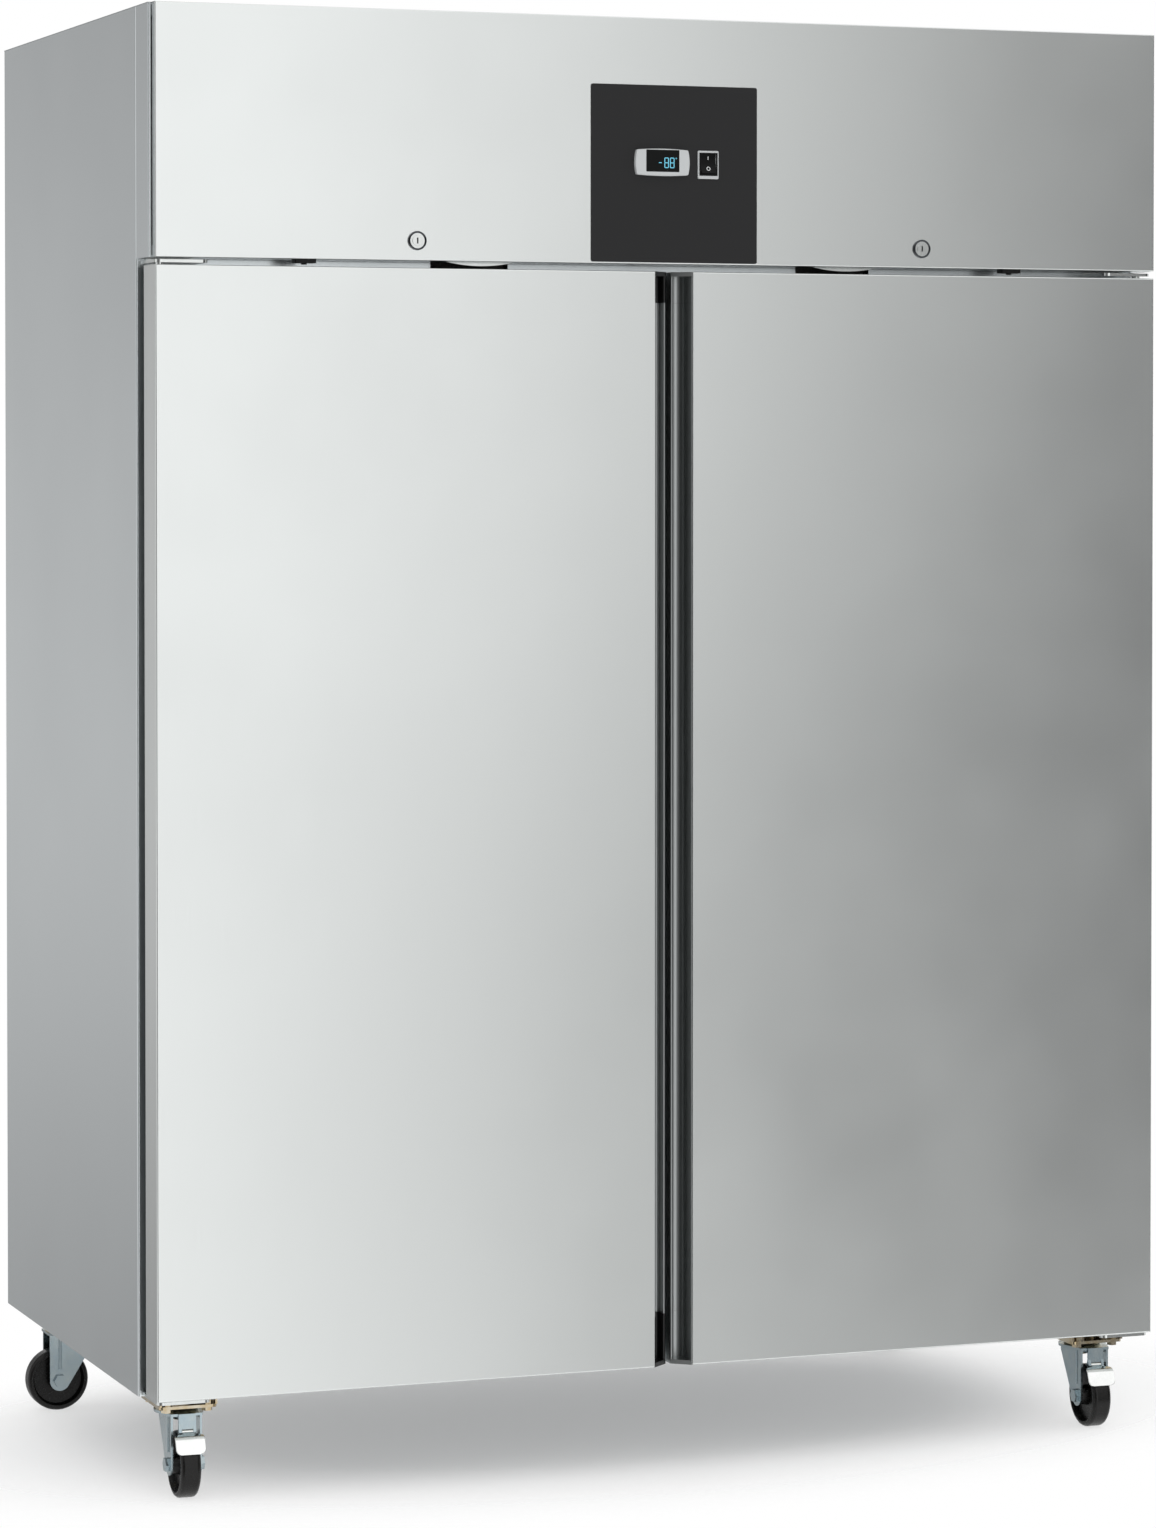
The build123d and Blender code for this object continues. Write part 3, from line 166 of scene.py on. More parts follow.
def satin_aluminium(name, tone, streak):
    """Extruded aluminium, satin anodised: even grey with faint die lines along its length."""
    material, tree, shader, place = new_material(name)
    width, length = 0.8 * mm, 240 * mm
    laid = node(tree, "ShaderNodeMapping",
                {"Vector": place, "Scale": (1 / width, 1 / width, 1 / length)})
    lines = node(tree, "ShaderNodeTexNoise", {"Vector": laid.outputs["Vector"], "Scale": 1.0})
    colour = node(tree, "ShaderNodeMix",
                  {"Factor": lines.outputs["Fac"], first_colour: linear(streak),
                   second_colour: linear(tone)}, data_type="RGBA")
    relief = node(tree, "ShaderNodeBump", {"Height": lines.outputs["Fac"], "Distance": 0.004 * mm})
    feed(tree, shader, {"Base Color": colour.outputs[mixed_colour], "Metallic": 1.0,
                        "Roughness": 0.3, "Normal": relief.outputs["Normal"]})
    return material


def drawn_copper(name):
    """Drawn copper tube, slightly tarnished: warm orange with browner, duller patches."""
    material, tree, shader, place = new_material(name)
    patch = 30 * mm
    tarnish = node(tree, "ShaderNodeTexNoise", {"Vector": place, "Scale": 1 / patch, "Detail": 4.0})
    colour = node(tree, "ShaderNodeMix",
                  {"Factor": tarnish.outputs["Fac"], first_colour: linear("da9c78"),
                   second_colour: linear("8c5136")}, data_type="RGBA")
    gloss = node(tree, "ShaderNodeMapRange",
                 {"Value": tarnish.outputs["Fac"], "To Min": 0.16, "To Max": 0.46})
    feed(tree, shader, {"Base Color": colour.outputs[mixed_colour], "Metallic": 1.0,
                        "Roughness": gloss.outputs["Result"]})
    return material


def fin_stock(name):
    """Aluminium fins seen on edge: bright lines 2.5 mm apart, with the deep gaps between them painted
    dark as painted shade.
    """
    material, tree, shader, place = new_material(name)
    pitch = 2.5 * mm
    waves_in_one = 20
    fins = node(tree, "ShaderNodeTexWave",
                {"Vector": place, "Scale": math.tau / (waves_in_one * pitch)}, wave_type="BANDS",
                bands_direction="X")
    # Painted shade: the dark bands stand for the shaded gaps between the fins.
    colour = node(tree, "ShaderNodeMix",
                  {"Factor": fins.outputs["Fac"], first_colour: linear("26282a"),
                   second_colour: linear("c6cacc")}, data_type="RGBA")
    relief = node(tree, "ShaderNodeBump", {"Height": fins.outputs["Fac"], "Distance": 0.5 * mm})
    feed(tree, shader, {"Base Color": colour.outputs[mixed_colour], "Metallic": 1.0,
                        "Roughness": 0.4, "Normal": relief.outputs["Normal"]})
    return material


# Coatings, plastics, rubber and foam

def coated(name, tone, dark, roughness, peel_size, peel_depth, shine=0.5):
    """Paint or powder coating: one even colour under a fine orange-peel surface."""
    material, tree, shader, place = new_material(name)
    peel = node(tree, "ShaderNodeTexNoise", {"Vector": place, "Scale": 1 / peel_size})
    colour = node(tree, "ShaderNodeMix",
                  {"Factor": peel.outputs["Fac"], first_colour: linear(dark),
                   second_colour: linear(tone)}, data_type="RGBA")
    relief = node(tree, "ShaderNodeBump", {"Height": peel.outputs["Fac"], "Distance": peel_depth})
    feed(tree, shader, {"Base Color": colour.outputs[mixed_colour], "Roughness": roughness,
                        "Specular IOR Level": shine, "Normal": relief.outputs["Normal"]})
    return material


def moulded_plastic(name, tone, dark, roughness, shine=0.5):
    """Injection moulded plastic with a spark-eroded texture: a fine even grain."""
    material, tree, shader, place = new_material(name)
    grain_size = 0.6 * mm
    grain = node(tree, "ShaderNodeTexNoise",
                 {"Vector": place, "Scale": 1 / grain_size, "Detail": 3.0})
    colour = node(tree, "ShaderNodeMix",
                  {"Factor": grain.outputs["Fac"], first_colour: linear(dark),
                   second_colour: linear(tone)}, data_type="RGBA")
    gloss = node(tree, "ShaderNodeMapRange",
                 {"Value": grain.outputs["Fac"], "To Min": roughness - 0.08,
                  "To Max": roughness + 0.08})
    relief = node(tree, "ShaderNodeBump", {"Height": grain.outputs["Fac"], "Distance": 0.01 * mm})
    feed(tree, shader, {"Base Color": colour.outputs[mixed_colour],
                        "Roughness": gloss.outputs["Result"], "Specular IOR Level": shine,
                        "Normal": relief.outputs["Normal"]})
    return material


def smoked_acrylic(name):
    """Tinted acrylic window: nearly black, with a sharp gloss and a faint haze."""
    material, tree, shader, place = new_material(name)
    patch = 12 * mm
    haze = node(tree, "ShaderNodeTexNoise", {"Vector": place, "Scale": 1 / patch})
    gloss = node(tree, "ShaderNodeMapRange",
                 {"Value": haze.outputs["Fac"], "To Min": 0.05, "To Max": 0.12})
    feed(tree, shader, {"Base Color": linear("0a0c0c"), "Roughness": gloss.outputs["Result"],
                        "Specular IOR Level": 0.12})
    return material


def lit_segment(name):
    """Lit display segment behind a tinted window: a cyan glow, paler in patches."""
    material, tree, shader, place = new_material(name)
    patch = 3 * mm
    glow = node(tree, "ShaderNodeTexNoise", {"Vector": place, "Scale": 1 / patch})
    colour = node(tree, "ShaderNodeMix",
                  {"Factor": glow.outputs["Fac"], first_colour: linear("52bfe2"),
                   second_colour: linear("8fe2f7")}, data_type="RGBA")
    feed(tree, shader, {"Base Color": linear("0b2a33"), "Roughness": 0.4,
                        "Emission Color": colour.outputs[mixed_colour], "Emission Strength": 1.0})
    return material


def screen_ink(name):
    """White ink printed on plastic: flat and slightly chalky."""
    material, tree, shader, place = new_material(name)
    grain_size = 0.4 * mm
    chalk = node(tree, "ShaderNodeTexNoise", {"Vector": place, "Scale": 1 / grain_size})
    colour = node(tree, "ShaderNodeMix",
                  {"Factor": chalk.outputs["Fac"], first_colour: linear("c8cbcb"),
                   second_colour: linear("f4f6f6")}, data_type="RGBA")
    feed(tree, shader, {"Base Color": colour.outputs[mixed_colour], "Roughness": 0.6})
    return material


def rubber(name, tone, dust, roughness):
    """Moulded rubber: dark, with pale dust in a fine mottle."""
    material, tree, shader, place = new_material(name)
    mottle_size = 4 * mm
    mottle = node(tree, "ShaderNodeTexNoise",
                  {"Vector": place, "Scale": 1 / mottle_size, "Detail": 4.0})
    colour = node(tree, "ShaderNodeMix",
                  {"Factor": mottle.outputs["Fac"], first_colour: linear(tone),
                   second_colour: linear(dust)}, data_type="RGBA")
    gloss = node(tree, "ShaderNodeMapRange",
                 {"Value": mottle.outputs["Fac"], "To Min": roughness - 0.1,
                  "To Max": roughness + 0.12})
    relief = node(tree, "ShaderNodeBump", {"Height": mottle.outputs["Fac"], "Distance": 0.03 * mm})
    feed(tree, shader, {"Base Color": colour.outputs[mixed_colour],
                        "Roughness": gloss.outputs["Result"], "Specular IOR Level": 0.3,
                        "Normal": relief.outputs["Normal"]})
    return material


def rigid_foam(name):
    """Rigid foam with a cut face and small open cells, painted dark grey as painted shade for the
    shaded recess it shows through.
    """
    material, tree, shader, place = new_material(name)
    cell = 2.5 * mm
    cells = node(tree, "ShaderNodeTexVoronoi", {"Vector": place, "Scale": 1 / cell})
    # Painted shade: the foam is coloured dark for the shaded recess, and each cell is darker in its
    # middle as painted shade in its pit.
    colour = node(tree, "ShaderNodeMix",
                  {"Factor": cells.outputs["Distance"], first_colour: linear("4b4a47"),
                   second_colour: linear("7c7b76")}, data_type="RGBA")
    relief = node(tree, "ShaderNodeBump", {"Height": cells.outputs["Distance"], "Distance": 0.2 * mm})
    feed(tree, shader, {"Base Color": colour.outputs[mixed_colour], "Roughness": 0.85,
                        "Normal": relief.outputs["Normal"]})
    return material


finishes = {
    "stainless_sheet": brushed_stainless("Brushed_Side_Stainless", "dce1e3", "d6dbdd", 0.24, "z"),
    "door_sheet": brushed_stainless("Brushed_Door_Stainless", "e2e5e4", "dcdfde", 0.22, "z"),
    "liner_sheet": brushed_stainless("Rolled_Liner_Stainless", "c4c7c7", "b8bbbb", 0.36, "x"),
    "galvanised_sheet": galvanised("Galvanised_Sheet", "979c9e", "aeb3b5"),
    "zinc_plate": zinc_plated("Bright_Zinc", "dee1e0", "d0d3d1", 0.18),
    "castor_zinc": zinc_plated("Yellow_Clouded_Zinc", "dcdad0", "ab8d4d", 0.18),
    "pedal_zinc": zinc_plated("White_Zinc", "f4f5f4", "e2e4e2", 0.14),
    "fork_zinc": zinc_plated("Blue_Zinc", "98abb6", "b6bebd", 0.22),
    "grip_profile": satin_aluminium("Satin_Grip_Profile", "a8abab", "9c9f9f"),
    "dark_nickel": zinc_plated("Dark_Nickel", "4c4f52", "3a3c3f", 0.16),
    "plate_black": coated("Black_Powder_Coat", "29292a", "232324", 0.5, 1.2 * mm, 0.02 * mm, 0.25),
    "black_plastic": moulded_plastic("Black_Moulded_Nylon", "1d1e1f", "131415", 0.45, 0.4),
    "bezel_plastic": moulded_plastic("Grey_Moulded_Bezel", "d9dcdd", "cdd0d1", 0.35),
    "display_window": smoked_acrylic("Smoked_Acrylic"),
    "rocker_plastic": moulded_plastic("Black_Rocker_Nylon", "0a0b0b", "060707", 0.22, 0.15),
    "foam": rigid_foam("Rigid_Foam_Painted_Shade"),
    "gasket_rubber": rubber("Door_Seal_Vinyl", "46484a", "595b5d", 0.5),
    "bush_plastic": moulded_plastic("White_Nylon_Bush", "dcdcd6", "c9c9c2", 0.4),
    "coated_wire": coated("Plastic_Coated_Wire", "c4c8c9", "aaaeb0", 0.35, 9 * mm, 0.05 * mm),
    "fins": fin_stock("Fin_Stock"),
    "fan_plastic": moulded_plastic("Fan_Nylon", "2c2d2f", "1f2022", 0.5),
    "motor_metal": coated("Cast_Motor_Paint", "5a5d61", "464a4e", 0.45, 1.5 * mm, 0.03 * mm),
    "compressor_paint": coated("Black_Compressor_Enamel", "1e1e1f", "141415", 0.22, 2.5 * mm,
                               0.03 * mm),
    "copper": drawn_copper("Drawn_Copper"),
    "wheel_rubber": rubber("Castor_Tread_Rubber", "08090a", "161412", 0.28),
}
segment_light = lit_segment("Lit_Segment")
ink = screen_ink("White_Screen_Ink")


def grip_with_painted_shade_ends():
    """The grip profile's satin aluminium, painted black and not metallic at its top and bottom ends
    as painted shade in the channel's ends.
    """
    top_end, bottom_end = 42 * mm, 70 * mm
    material = finishes["grip_profile"].copy()
    material.name = "Satin_Grip_With_Painted_Shade_Ends"
    tree = material.node_tree
    shader = tree.nodes["Principled BSDF"]
    low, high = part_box("door_left_grip")
    place = node(tree, "ShaderNodeTexCoord").outputs["Object"]
    height = node(tree, "ShaderNodeSeparateXYZ", {"Vector": place}).outputs["Z"]
    above = node(tree, "ShaderNodeMath", {0: height, 1: high.z - top_end},
                 operation="GREATER_THAN")
    below = node(tree, "ShaderNodeMath", {0: height, 1: low.z + bottom_end},
                 operation="LESS_THAN")
    ends = node(tree, "ShaderNodeMath", {0: above.outputs["Value"], 1: below.outputs["Value"]},
                operation="ADD", use_clamp=True)
    metal = node(tree, "ShaderNodeMath", {0: 1.0, 1: ends.outputs["Value"]},
                 operation="SUBTRACT")
    # Painted shade: the ends of the channel are painted near-black, for the shade that falls there.
    colour = node(tree, "ShaderNodeMix",
                  {"Factor": ends.outputs["Value"],
                   first_colour: shader.inputs["Base Color"].links[0].from_socket,
                   second_colour: linear("101112")}, data_type="RGBA")
    feed(tree, shader, {"Base Color": colour.outputs[mixed_colour],
                        "Metallic": metal.outputs["Value"]})
    return material


def dress(name, material):
    """Gives a CAD node its material."""
    materials = nodes[name].data.materials
    materials.clear()
    materials.append(material)


def dress_cad_nodes():
    """Every CAD node takes the finish of its slot, but for the fascia and the left grip.

    The fascia is cut from the doors' sheet, and the left grip's ends are painted black as painted
    shade."""
    for part in frame["record"]["subparts"]:
        dress(part["node"], finishes[part["material_slot"]])
    dress("fascia", finishes["door_sheet"])
    dress("door_left_grip", grip_with_painted_shade_ends())


# Mesh helpers

artwork_thick = 0.06 * mm
ring_facets = 28


def joint_named(name):
    """The record's entry for a joint."""
    return next(j for j in frame["record"]["behaviour"]["joints"] if j["name"] == name)


def once_each(items):
    """Items without repeats, in the order in which they come."""
    return list(dict.fromkeys(items))


def object_from(name, bm, material):
    """Turns a bmesh into an object with its normals facing outward."""
    bm.normal_update()
    bmesh.ops.recalc_face_normals(bm, faces=bm.faces)
    mesh = bpy.data.meshes.new(name)
    bm.to_mesh(mesh)
    bm.free()
    mesh.materials.append(material)
    made = bpy.data.objects.new(name, mesh)
    bpy.context.scene.collection.objects.link(made)
    return made


def turned(angle, axis):
    """Rotation by an angle in degrees about an axis."""
    return Matrix.Rotation(math.radians(angle), 3, axis)


def extruded(bm, faces, move):
    """Extrudes faces along a vector and gives the new vertices."""
    grown = bmesh.ops.extrude_face_region(bm, geom=faces)["geom"]
    moved = [v for v in grown if isinstance(v, bmesh.types.BMVert)]
    bmesh.ops.translate(bm, vec=move, verts=moved)
    return moved


def thickened(bm, faces):
    """Extrudes flat artwork upward and gives all its vertices."""
    base = once_each(v for face in faces for v in face.verts)
    return base + extruded(bm, faces, (0, 0, artwork_thick))


def rounded(bm, edges, radius):
    """Rounds edges of a mesh."""
    bmesh.ops.bevel(bm, geom=edges, offset=radius, segments=2, profile=0.5, affect="EDGES",
                    material=-1)


def stood_up(bm, verts, x, z):
    """Stands flat artwork up to face the front, centred at a place."""
    bmesh.ops.rotate(bm, cent=(0, 0, 0), matrix=turned(90, "X"), verts=verts)
    bmesh.ops.translate(bm, vec=(x, 0, z), verts=verts)


def laid_on(bm, carrier):
    """Moves artwork back onto the surface of the CAD node behind it."""
    surface = BVHTree.FromObject(nodes[carrier], bpy.context.evaluated_depsgraph_get())
    backward = Vector((0, 1, 0))
    well_ahead = cad_box[0].y - 1
    for v in bm.verts:
        start = Vector((v.co.x, well_ahead, v.co.z))
        spot = surface.ray_cast(start, backward)[0]
        v.co.y += spot.y


def pointed_bar(bm, x, z, length, stroke, angle=0):
    """Flat bar with pointed ends, as a display segment has: a hexagon pulled out at its ends."""
    reach = stroke / math.sqrt(3)
    ring = bmesh.ops.create_circle(bm, cap_ends=True, segments=6, radius=reach)["verts"]
    bmesh.ops.rotate(bm, cent=(0, 0, 0), matrix=turned(30, "Z"), verts=ring)
    for side in (-1, 1):
        end = [v for v in ring if v.co.x * side > reach / 4]
        bmesh.ops.translate(bm, vec=(side * (length / 2 - reach), 0, 0), verts=end)
    verts = thickened(bm, once_each(f for v in ring for f in v.link_faces))
    bmesh.ops.rotate(bm, cent=(0, 0, 0), matrix=turned(angle, "Z"), verts=verts)
    stood_up(bm, verts, x, z)


def flat_ring(bm, x, z, outer, inner):
    """Flat ring between two circles."""
    loops = [bmesh.ops.create_circle(bm, segments=ring_facets, radius=r)["verts"]
             for r in (outer, inner)]
    edges = once_each(e for verts in loops for v in verts for e in v.link_edges)
    faces = bmesh.ops.bridge_loops(bm, edges=edges)["faces"]
    stood_up(bm, thickened(bm, faces), x, z)


# Display and power switch

digit_width = 6.6 * mm
digit_height = 14.4 * mm
digit_pitch = 8.2 * mm
segment_width = 1.15 * mm
minus_length = 4.4 * mm
degree_r = 1 * mm
digits_from_left = 26.5 * mm
digits_from_bottom = 5.2 * mm


def seven_segments(bm, left, low, width, height, stroke):
    """One figure of a display with all seven segments lit."""
    first = left + stroke / 2
    last = left + width - stroke / 2
    bottom = low + stroke / 2
    rise = (height - stroke) / 2
    gap = stroke / 5
    for level in range(3):
        pointed_bar(bm, (first + last) / 2, bottom + level * rise, last - first - gap, stroke)
    for x in (first, last):
        for level in range(2):
            pointed_bar(bm, x, bottom + (level + 0.5) * rise, rise - gap, stroke, angle=90)


def display_figures():
    """A minus sign, two eights and a degree ring, as a display shows when it is tested."""
    window_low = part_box("controller_window")[0]
    left = window_low.x + digits_from_left
    low = window_low.z + digits_from_bottom
    middle = low + digit_height / 2
    degree_x = left + 2 * digit_pitch + degree_r
    degree_z = low + digit_height - degree_r
    bm = bmesh.new()
    pointed_bar(bm, left - digit_pitch + minus_length / 2, middle, minus_length, segment_width)
    for x in (left, left + digit_pitch):
        seven_segments(bm, x, low, digit_width, digit_height, segment_width)
    flat_ring(bm, degree_x, degree_z, degree_r, degree_r / 2)
    laid_on(bm, "controller_window")
    figures = object_from("display_figures", bm, segment_light)
    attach(figures, "cabinet")


def switch_marks():
    """The line for on and the ring for off on the rocker."""
    line_length, line_width, line_up = 5 * mm, 1.1 * mm, 8 * mm
    ring_r, hole_r, ring_down = 2.9 * mm, 1.8 * mm, 6.5 * mm
    low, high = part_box("power_rocker")
    x = (low.x + high.x) / 2
    middle = (low.z + high.z) / 2
    bm = bmesh.new()
    pointed_bar(bm, x, middle + line_up, line_length, line_width, angle=90)
    flat_ring(bm, x, middle - ring_down, ring_r, hole_r)
    laid_on(bm, "power_rocker")
    marks = object_from("switch_marks", bm, ink)
    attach(marks, "rocker")


def switch_collar():
    """Glossy black surround of the rocker, raised on the pale flange.

    It leaves a border of the flange clear, laps the rocker's sides and clears its ends."""
    flange_low, flange_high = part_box("switch_frame")
    rocker_low, rocker_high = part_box("power_rocker")
    above, below, beside = 2.8 * mm, 4.2 * mm, 1.8 * mm
    lap, play = 0.8 * mm, 0.3 * mm
    thick, edge_r = 0.5 * mm, 0.25 * mm
    outer = (flange_low.x + beside, flange_high.x - beside, flange_low.z + below,
             flange_high.z - above)
    inner = (rocker_low.x + lap, rocker_high.x - lap, rocker_low.z - play, rocker_high.z + play)
    bm = bmesh.new()
    edges = []
    for x0, x1, z0, z1 in (outer, inner):
        corners = [bm.verts.new((x, flange_low.y, z)) for x, z in
                   ((x0, z0), (x1, z0), (x1, z1), (x0, z1))]
        edges += [bm.edges.new((corners[i - 1], corners[i])) for i in range(4)]
    faces = bmesh.ops.bridge_loops(bm, edges=edges)["faces"]
    front = extruded(bm, faces, (0, -thick, 0))
    bm.normal_update()
    rims = [e for e in bm.edges if all(v in front for v in e.verts) and
            any(abs(f.normal.y) < 0.5 for f in e.link_faces)]
    rounded(bm, rims, edge_r)
    collar = object_from("switch_collar", bm, finishes["rocker_plastic"])
    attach(collar, "cabinet")


# Locks

lock_flange_r = 12 * mm


def lock_centre(side, y):
    """Place on the axis of a lock's key plug."""
    x, _, z = joint_named(f"lock_{side}_turn")["pos_m"]
    return Vector((x, y, z))


def lock_ring(side):
    """Raised dark ring round a lock's flange, with a rounded crest."""
    inner = lock_flange_r - 1.8 * mm
    crest = lock_flange_r - 0.3 * mm
    outer = lock_flange_r + 0.9 * mm
    slant = 0.3 * mm
    crest_high, shoulder_high, rim_high = 1.7 * mm, 1.2 * mm, 0.6 * mm
    facets = 48
    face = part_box("fascia")[0].y
    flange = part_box("lock_bodies")[0].y
    section = ((inner, flange), (inner + slant, flange - shoulder_high),
               (crest, flange - crest_high), (outer - slant, flange - shoulder_high),
               (outer, flange - rim_high), (outer, face))
    bm = bmesh.new()
    verts = [bm.verts.new((r, y, 0)) for r, y in section]
    edges = [bm.edges.new(pair) for pair in zip(verts, verts[1:] + verts[:1])]
    bmesh.ops.spin(bm, geom=edges, cent=(0, 0, 0), axis=(0, 1, 0), angle=math.tau, steps=facets,
                   use_merge=True)
    bmesh.ops.translate(bm, vec=lock_centre(side, 0), verts=bm.verts)
    ring = object_from(f"lock_ring_{side}", bm, finishes["dark_nickel"])
    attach(ring, "cabinet")


def keyway_shade_plate(side):
    """Black plate just inside the slot for the key, as painted shade for the deep slot."""
    # Painted shade: a black plate stands in for the shade inside the deep key slot.
    width, height, thick = 1.9 * mm, 7.8 * mm, 1 * mm
    inset, edge_r = 0.3 * mm, 0.15 * mm
    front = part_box(f"lock_cylinder_{side}")[0].y + inset
    bm = bmesh.new()
    bmesh.ops.create_cube(bm, size=1)
    bmesh.ops.scale(bm, vec=(width, thick, height), verts=bm.verts)
    rounded(bm, bm.edges[:], edge_r)
    bmesh.ops.translate(bm, vec=lock_centre(side, front + thick / 2), verts=bm.verts)
    shade_plate = object_from(f"keyway_shade_plate_{side}", bm, finishes["rocker_plastic"])
    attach(shade_plate, f"lock_plug_{side}")


# Brake pedals

# Half widths across, and distances along the plate from the hinge
pedal_half = 20.5 * mm
pedal_corner = 8 * mm
pedal_end = 41 * mm
neck_half = 7.6 * mm
neck_end = 9 * mm
pedal_thick = 2.2 * mm
barrel_r = 3.6 * mm


def pedal_width(s):
    """Half the pedal's width at a distance from its hinge."""
    if s < neck_end:
        return neck_half
    into_corner = max(neck_end + pedal_corner - s, s - pedal_end + pedal_corner, 0)
    rise = math.sqrt(max(pedal_corner ** 2 - into_corner ** 2, 0))
    return pedal_half - pedal_corner + rise


def pedal_path(s):
    """How far ahead of the hinge and above it the plate is, at a distance along it.

    It slopes gently down, bends over the wheel and then falls steeply."""
    flat_run = 14 * mm
    bend_r = 10 * mm
    start_up = 2 * mm
    slope, steep = math.radians(20), math.radians(68)
    run = min(s, flat_run)
    turn = min(max(s - flat_run, 0) / bend_r, steep - slope)
    rest = max(s - flat_run - bend_r * (steep - slope), 0)
    now = slope + turn
    forward = run * math.cos(slope) + bend_r * (math.sin(now) - math.sin(slope))
    down = run * math.sin(slope) + bend_r * (math.cos(slope) - math.cos(now))
    return forward + rest * math.cos(now), start_up - down - rest * math.sin(now)


def brake_pedal(side):
    """Pressed brake pedal, bent down over the wheel, on the barrel that its pin goes through."""
    joint = joint_named(f"brake_{side}_pedal")
    across = Vector(joint["axis"])
    up = Vector((0, 0, 1))
    forward = up.cross(across)
    steps = 40
    just_past_neck = neck_end * 1.001
    stations = sorted([pedal_end * i / steps for i in range(steps + 1)] + [just_past_neck])
    edge_r = 0.5 * mm
    sharp = math.radians(60)
    bm = bmesh.new()
    rows = []
    for s in stations:
        ahead, above = pedal_path(s)
        rows.append([bm.verts.new((x, ahead, above)) for x in (-pedal_width(s), pedal_width(s))])
    for near, far in zip(rows, rows[1:]):
        bm.faces.new((near[0], near[1], far[1], far[0]))
    bm.normal_update()
    bmesh.ops.solidify(bm, geom=bm.faces[:], thickness=pedal_thick)
    bm.normal_update()
    rounded(bm, [e for e in bm.edges if e.calc_face_angle(0) > sharp], edge_r)
    bmesh.ops.create_cone(bm, cap_ends=True, segments=24, radius1=barrel_r, radius2=barrel_r,
                          depth=2 * neck_half, matrix=Matrix.Rotation(math.pi / 2, 4, "Y"))
    facing = Matrix((across, forward, up)).transposed()
    placed = Matrix.Translation(joint["pos_m"]) @ facing.to_4x4()
    bmesh.ops.transform(bm, matrix=placed, verts=bm.verts)
    pedal = object_from(f"brake_pedal_{side}", bm, finishes["pedal_zinc"])
    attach(pedal, joint["child"])
    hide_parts(f"castor_pedal_{side}")


# Shelves

frame_wire = 3 * mm
cross_wire = 1.75 * mm
shelf_height = 8.5 * mm
shelf_corner = 12 * mm
cross_bar_y = 110 * mm
wires_across = 15


def wire(bm, runs, radius, closed=False):
    """Adds round wire along runs of points to a mesh."""
    curve = bpy.data.curves.new("wire", "CURVE")
    curve.dimensions = "3D"
    curve.bevel_depth = radius
    curve.bevel_resolution = 2
    curve.use_fill_caps = not closed
    for run in runs:
        spline = curve.splines.new("POLY")
        spline.points.add(len(run) - 1)
        for point, place in zip(spline.points, run):
            point.co = (*place, 1)
        spline.use_cyclic_u = closed
    holder = bpy.data.objects.new("wire", curve)
    mesh = bpy.data.meshes.new_from_object(holder)
    bm.from_mesh(mesh)
    bpy.data.objects.remove(holder)
    bpy.data.meshes.remove(mesh)


def rounded_loop(x0, x1, y0, y1, z, corner):
    """Points round a flat rectangle with rounded corners."""
    corners = ((x1 - corner, y1 - corner, 0), (x0 + corner, y1 - corner, 90),
               (x0 + corner, y0 + corner, 180), (x1 - corner, y0 + corner, 270))
    steps = 6
    return [(x + corner * math.cos(math.radians(start + 90 * i / steps)),
             y + corner * math.sin(math.radians(start + 90 * i / steps)), z)
            for x, y, start in corners for i in range(steps + 1)]


def wire_shelves():
    """Six shelves of round coated wire: a bent frame, two cross bars and thin wires over them."""
    low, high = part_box("wire_shelves")
    inner = min(abs(v.co.x) for v in nodes["wire_shelves"].data.vertices)
    width = high.x - inner
    y0, y1 = low.y + frame_wire, high.y - frame_wire
    middle_y = (low.y + high.y) / 2
    top = high.z - shelf_height
    bm = bmesh.new()
    for level in (low.z, (low.z + top) / 2, top):
        bar_z = level + frame_wire
        wire_z = level + shelf_height - cross_wire
        for left in (-high.x, inner):
            x0, x1 = left + frame_wire, left + width - frame_wire
            loop = rounded_loop(x0, x1, y0, y1, bar_z, shelf_corner)
            wire(bm, [loop], frame_wire, closed=True)
            wire(bm, [((x0, y, bar_z), (x1, y, bar_z))
                      for y in (middle_y - cross_bar_y, middle_y + cross_bar_y)], frame_wire)
            places = [left + width * (i + 1) / (wires_across + 1) for i in range(wires_across)]
            wire(bm, [((x, low.y, wire_z), (x, high.y, wire_z)) for x in places], cross_wire)
    shelves = object_from("round_wire_shelves", bm, finishes["coated_wire"])
    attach(shelves, "cabinet")
    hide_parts("wire_shelves")


# Studio

# The floor is solid, and then gone, at these multiples of the CAD box's half width and half depth
floor_solid = 0.7
floor_gone = 1.65
floor_lift = 0.27

# Azimuth, elevation, angles from the middle where the fade starts and ends, level against 1
sky_patches = (
    (134, 7, 16, 28, 0.06),
    (152, -9, 3, 13, 0.2),
    (-39, 26, 7, 39, 0.15),
    (168, 0, 9, 69, 1.25),
    (-24, -3, 20, 36, 0.64),
    (-16, -20, 6, 17, 0.45),
    (-138, 0, 16, 40, 0.15),
)


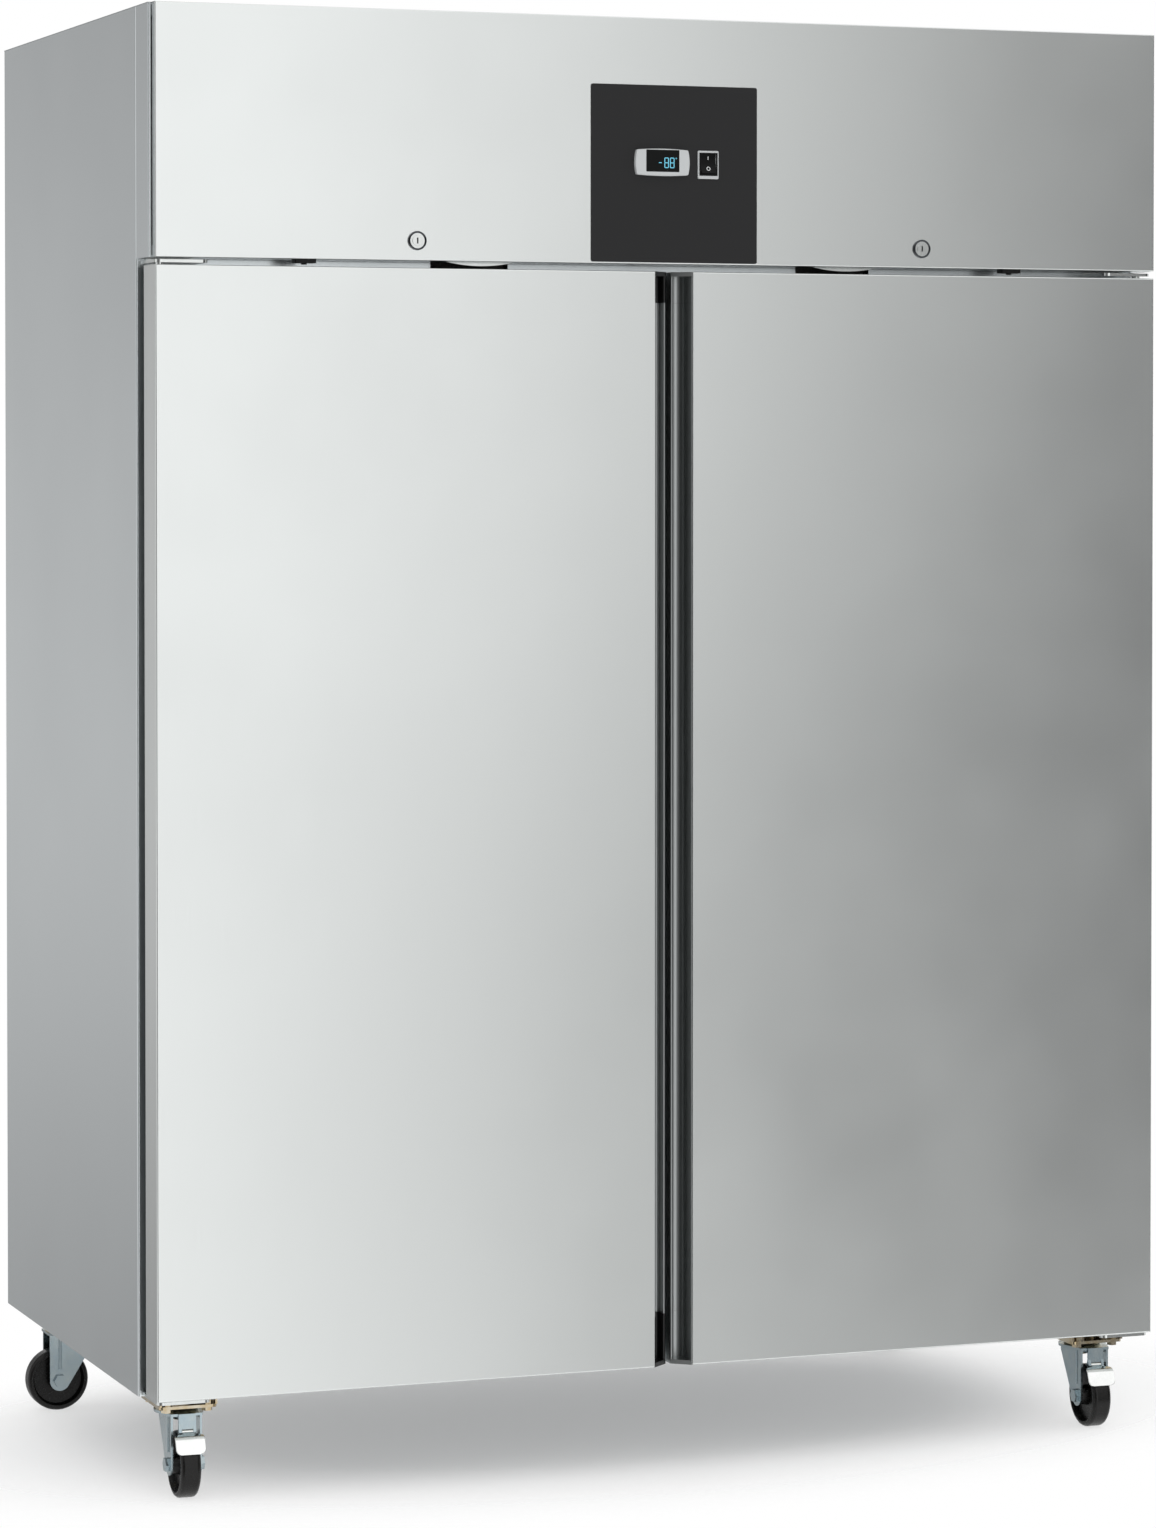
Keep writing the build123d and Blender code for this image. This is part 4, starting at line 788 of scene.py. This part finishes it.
def studio_floor():
    """Pale floor under soft light that fades into the white surroundings away from the object."""
    bm = bmesh.new()
    half = (cad_box[1] - cad_box[0]) / 2
    bmesh.ops.create_grid(bm, x_segments=1, y_segments=1, size=floor_gone * half.x)
    material, tree, shader, place = new_material("Studio_Floor")
    tone = node(tree, "ShaderNodeTexNoise", {"Vector": place, "Scale": 0.3})
    colour = node(tree, "ShaderNodeMix",
                  {"Factor": tone.outputs["Fac"], first_colour: linear("dcdcdc"),
                   second_colour: linear("e4e4e4")}, data_type="RGBA")
    path = node(tree, "ShaderNodeLightPath")
    seen = node(tree, "ShaderNodeMath",
                {0: path.outputs["Is Camera Ray"], 1: path.outputs["Is Glossy Ray"]},
                operation="ADD")
    shown = node(tree, "ShaderNodeMath",
                 {0: seen.outputs["Value"], 1: path.outputs["Is Transmission Ray"]},
                 operation="ADD", use_clamp=True)
    lift = node(tree, "ShaderNodeMath", {0: shown.outputs["Value"], 1: floor_lift},
                operation="MULTIPLY")
    feed(tree, shader, {"Base Color": colour.outputs[mixed_colour], "Roughness": 0.9,
                        "Specular IOR Level": 0.2, "Emission Color": linear("ffffff"),
                        "Emission Strength": lift.outputs["Value"]})
    footprint = node(tree, "ShaderNodeVectorMath", {0: place, 1: (half.x, half.y, 1)},
                     operation="DIVIDE")
    distance = node(tree, "ShaderNodeVectorMath", {0: footprint.outputs["Vector"]},
                    operation="LENGTH")
    fade = node(tree, "ShaderNodeMapRange",
                {"Value": distance.outputs["Value"], "From Min": floor_solid, "From Max": floor_gone},
                interpolation_type="SMOOTHSTEP")
    clear = node(tree, "ShaderNodeBsdfTransparent")
    surface = node(tree, "ShaderNodeMixShader",
                   {0: fade.outputs["Result"], 1: shader.outputs["BSDF"], 2: clear.outputs["BSDF"]})
    feed(tree, tree.nodes["Material Output"], {"Surface": surface.outputs["Shader"]})
    object_from("floor", bm, material)


def compass(azimuth, elevation):
    """Direction at an angle from +Y towards +X, and an angle above the horizon."""
    a = math.radians(azimuth)
    e = math.radians(elevation)
    return Vector((math.sin(a) * math.cos(e), math.cos(a) * math.cos(e), math.sin(e)))


def studio_sky():
    """White surroundings with soft darker and lighter patches, mirrored as the steel's gradients."""
    world = bpy.data.worlds.new("Studio")
    bpy.context.scene.world = world
    world.use_nodes = True
    tree = world.node_tree
    direction = node(tree, "ShaderNodeTexCoord").outputs["Generated"]
    level = 1.0
    for azimuth, elevation, inner, outer, strength in sky_patches:
        towards = node(tree, "ShaderNodeVectorMath",
                       {0: direction, 1: compass(azimuth, elevation)}, operation="DOT_PRODUCT")
        patch = node(tree, "ShaderNodeMapRange",
                     {"Value": towards.outputs["Value"], "From Min": math.cos(math.radians(outer)),
                      "From Max": math.cos(math.radians(inner)), "To Min": 1.0,
                      "To Max": strength}, interpolation_type="SMOOTHSTEP")
        level = node(tree, "ShaderNodeMath", {0: level, 1: patch.outputs["Result"]},
                     operation="MULTIPLY").outputs["Value"]
    feed(tree, tree.nodes["Background"], {"Color": linear("ffffff"), "Strength": level})


def photo_camera():
    """Camera at the photograph's place: turned to the right, tilted slightly down and shifted."""
    image_height = 1528
    focal_pixels = 4737.4
    sensor = 36
    yaw = math.radians(20.279)
    pitch = math.radians(1.339)
    camera = bpy.data.cameras.new("camera")
    camera.sensor_width = sensor
    camera.lens = focal_pixels / image_height * sensor
    camera.shift_y = -0.13
    camera.clip_end = 200
    holder = bpy.data.objects.new("camera", camera)
    holder.location = (-2.3797, -6.4746, 1.4023)
    holder.rotation_euler = (math.pi / 2 - pitch, 0, -yaw)
    bpy.context.scene.collection.objects.link(holder)
    bpy.context.scene.camera = holder


dress_cad_nodes()
display_figures()
switch_marks()
switch_collar()
for side in ("left", "right"):
    lock_ring(side)
    keyway_shade_plate(side)
for side in ("front_left", "front_right"):
    brake_pedal(side)
wire_shelves()
studio_floor()
studio_sky()
photo_camera()
bpy.context.scene.view_settings.view_transform = "Standard"
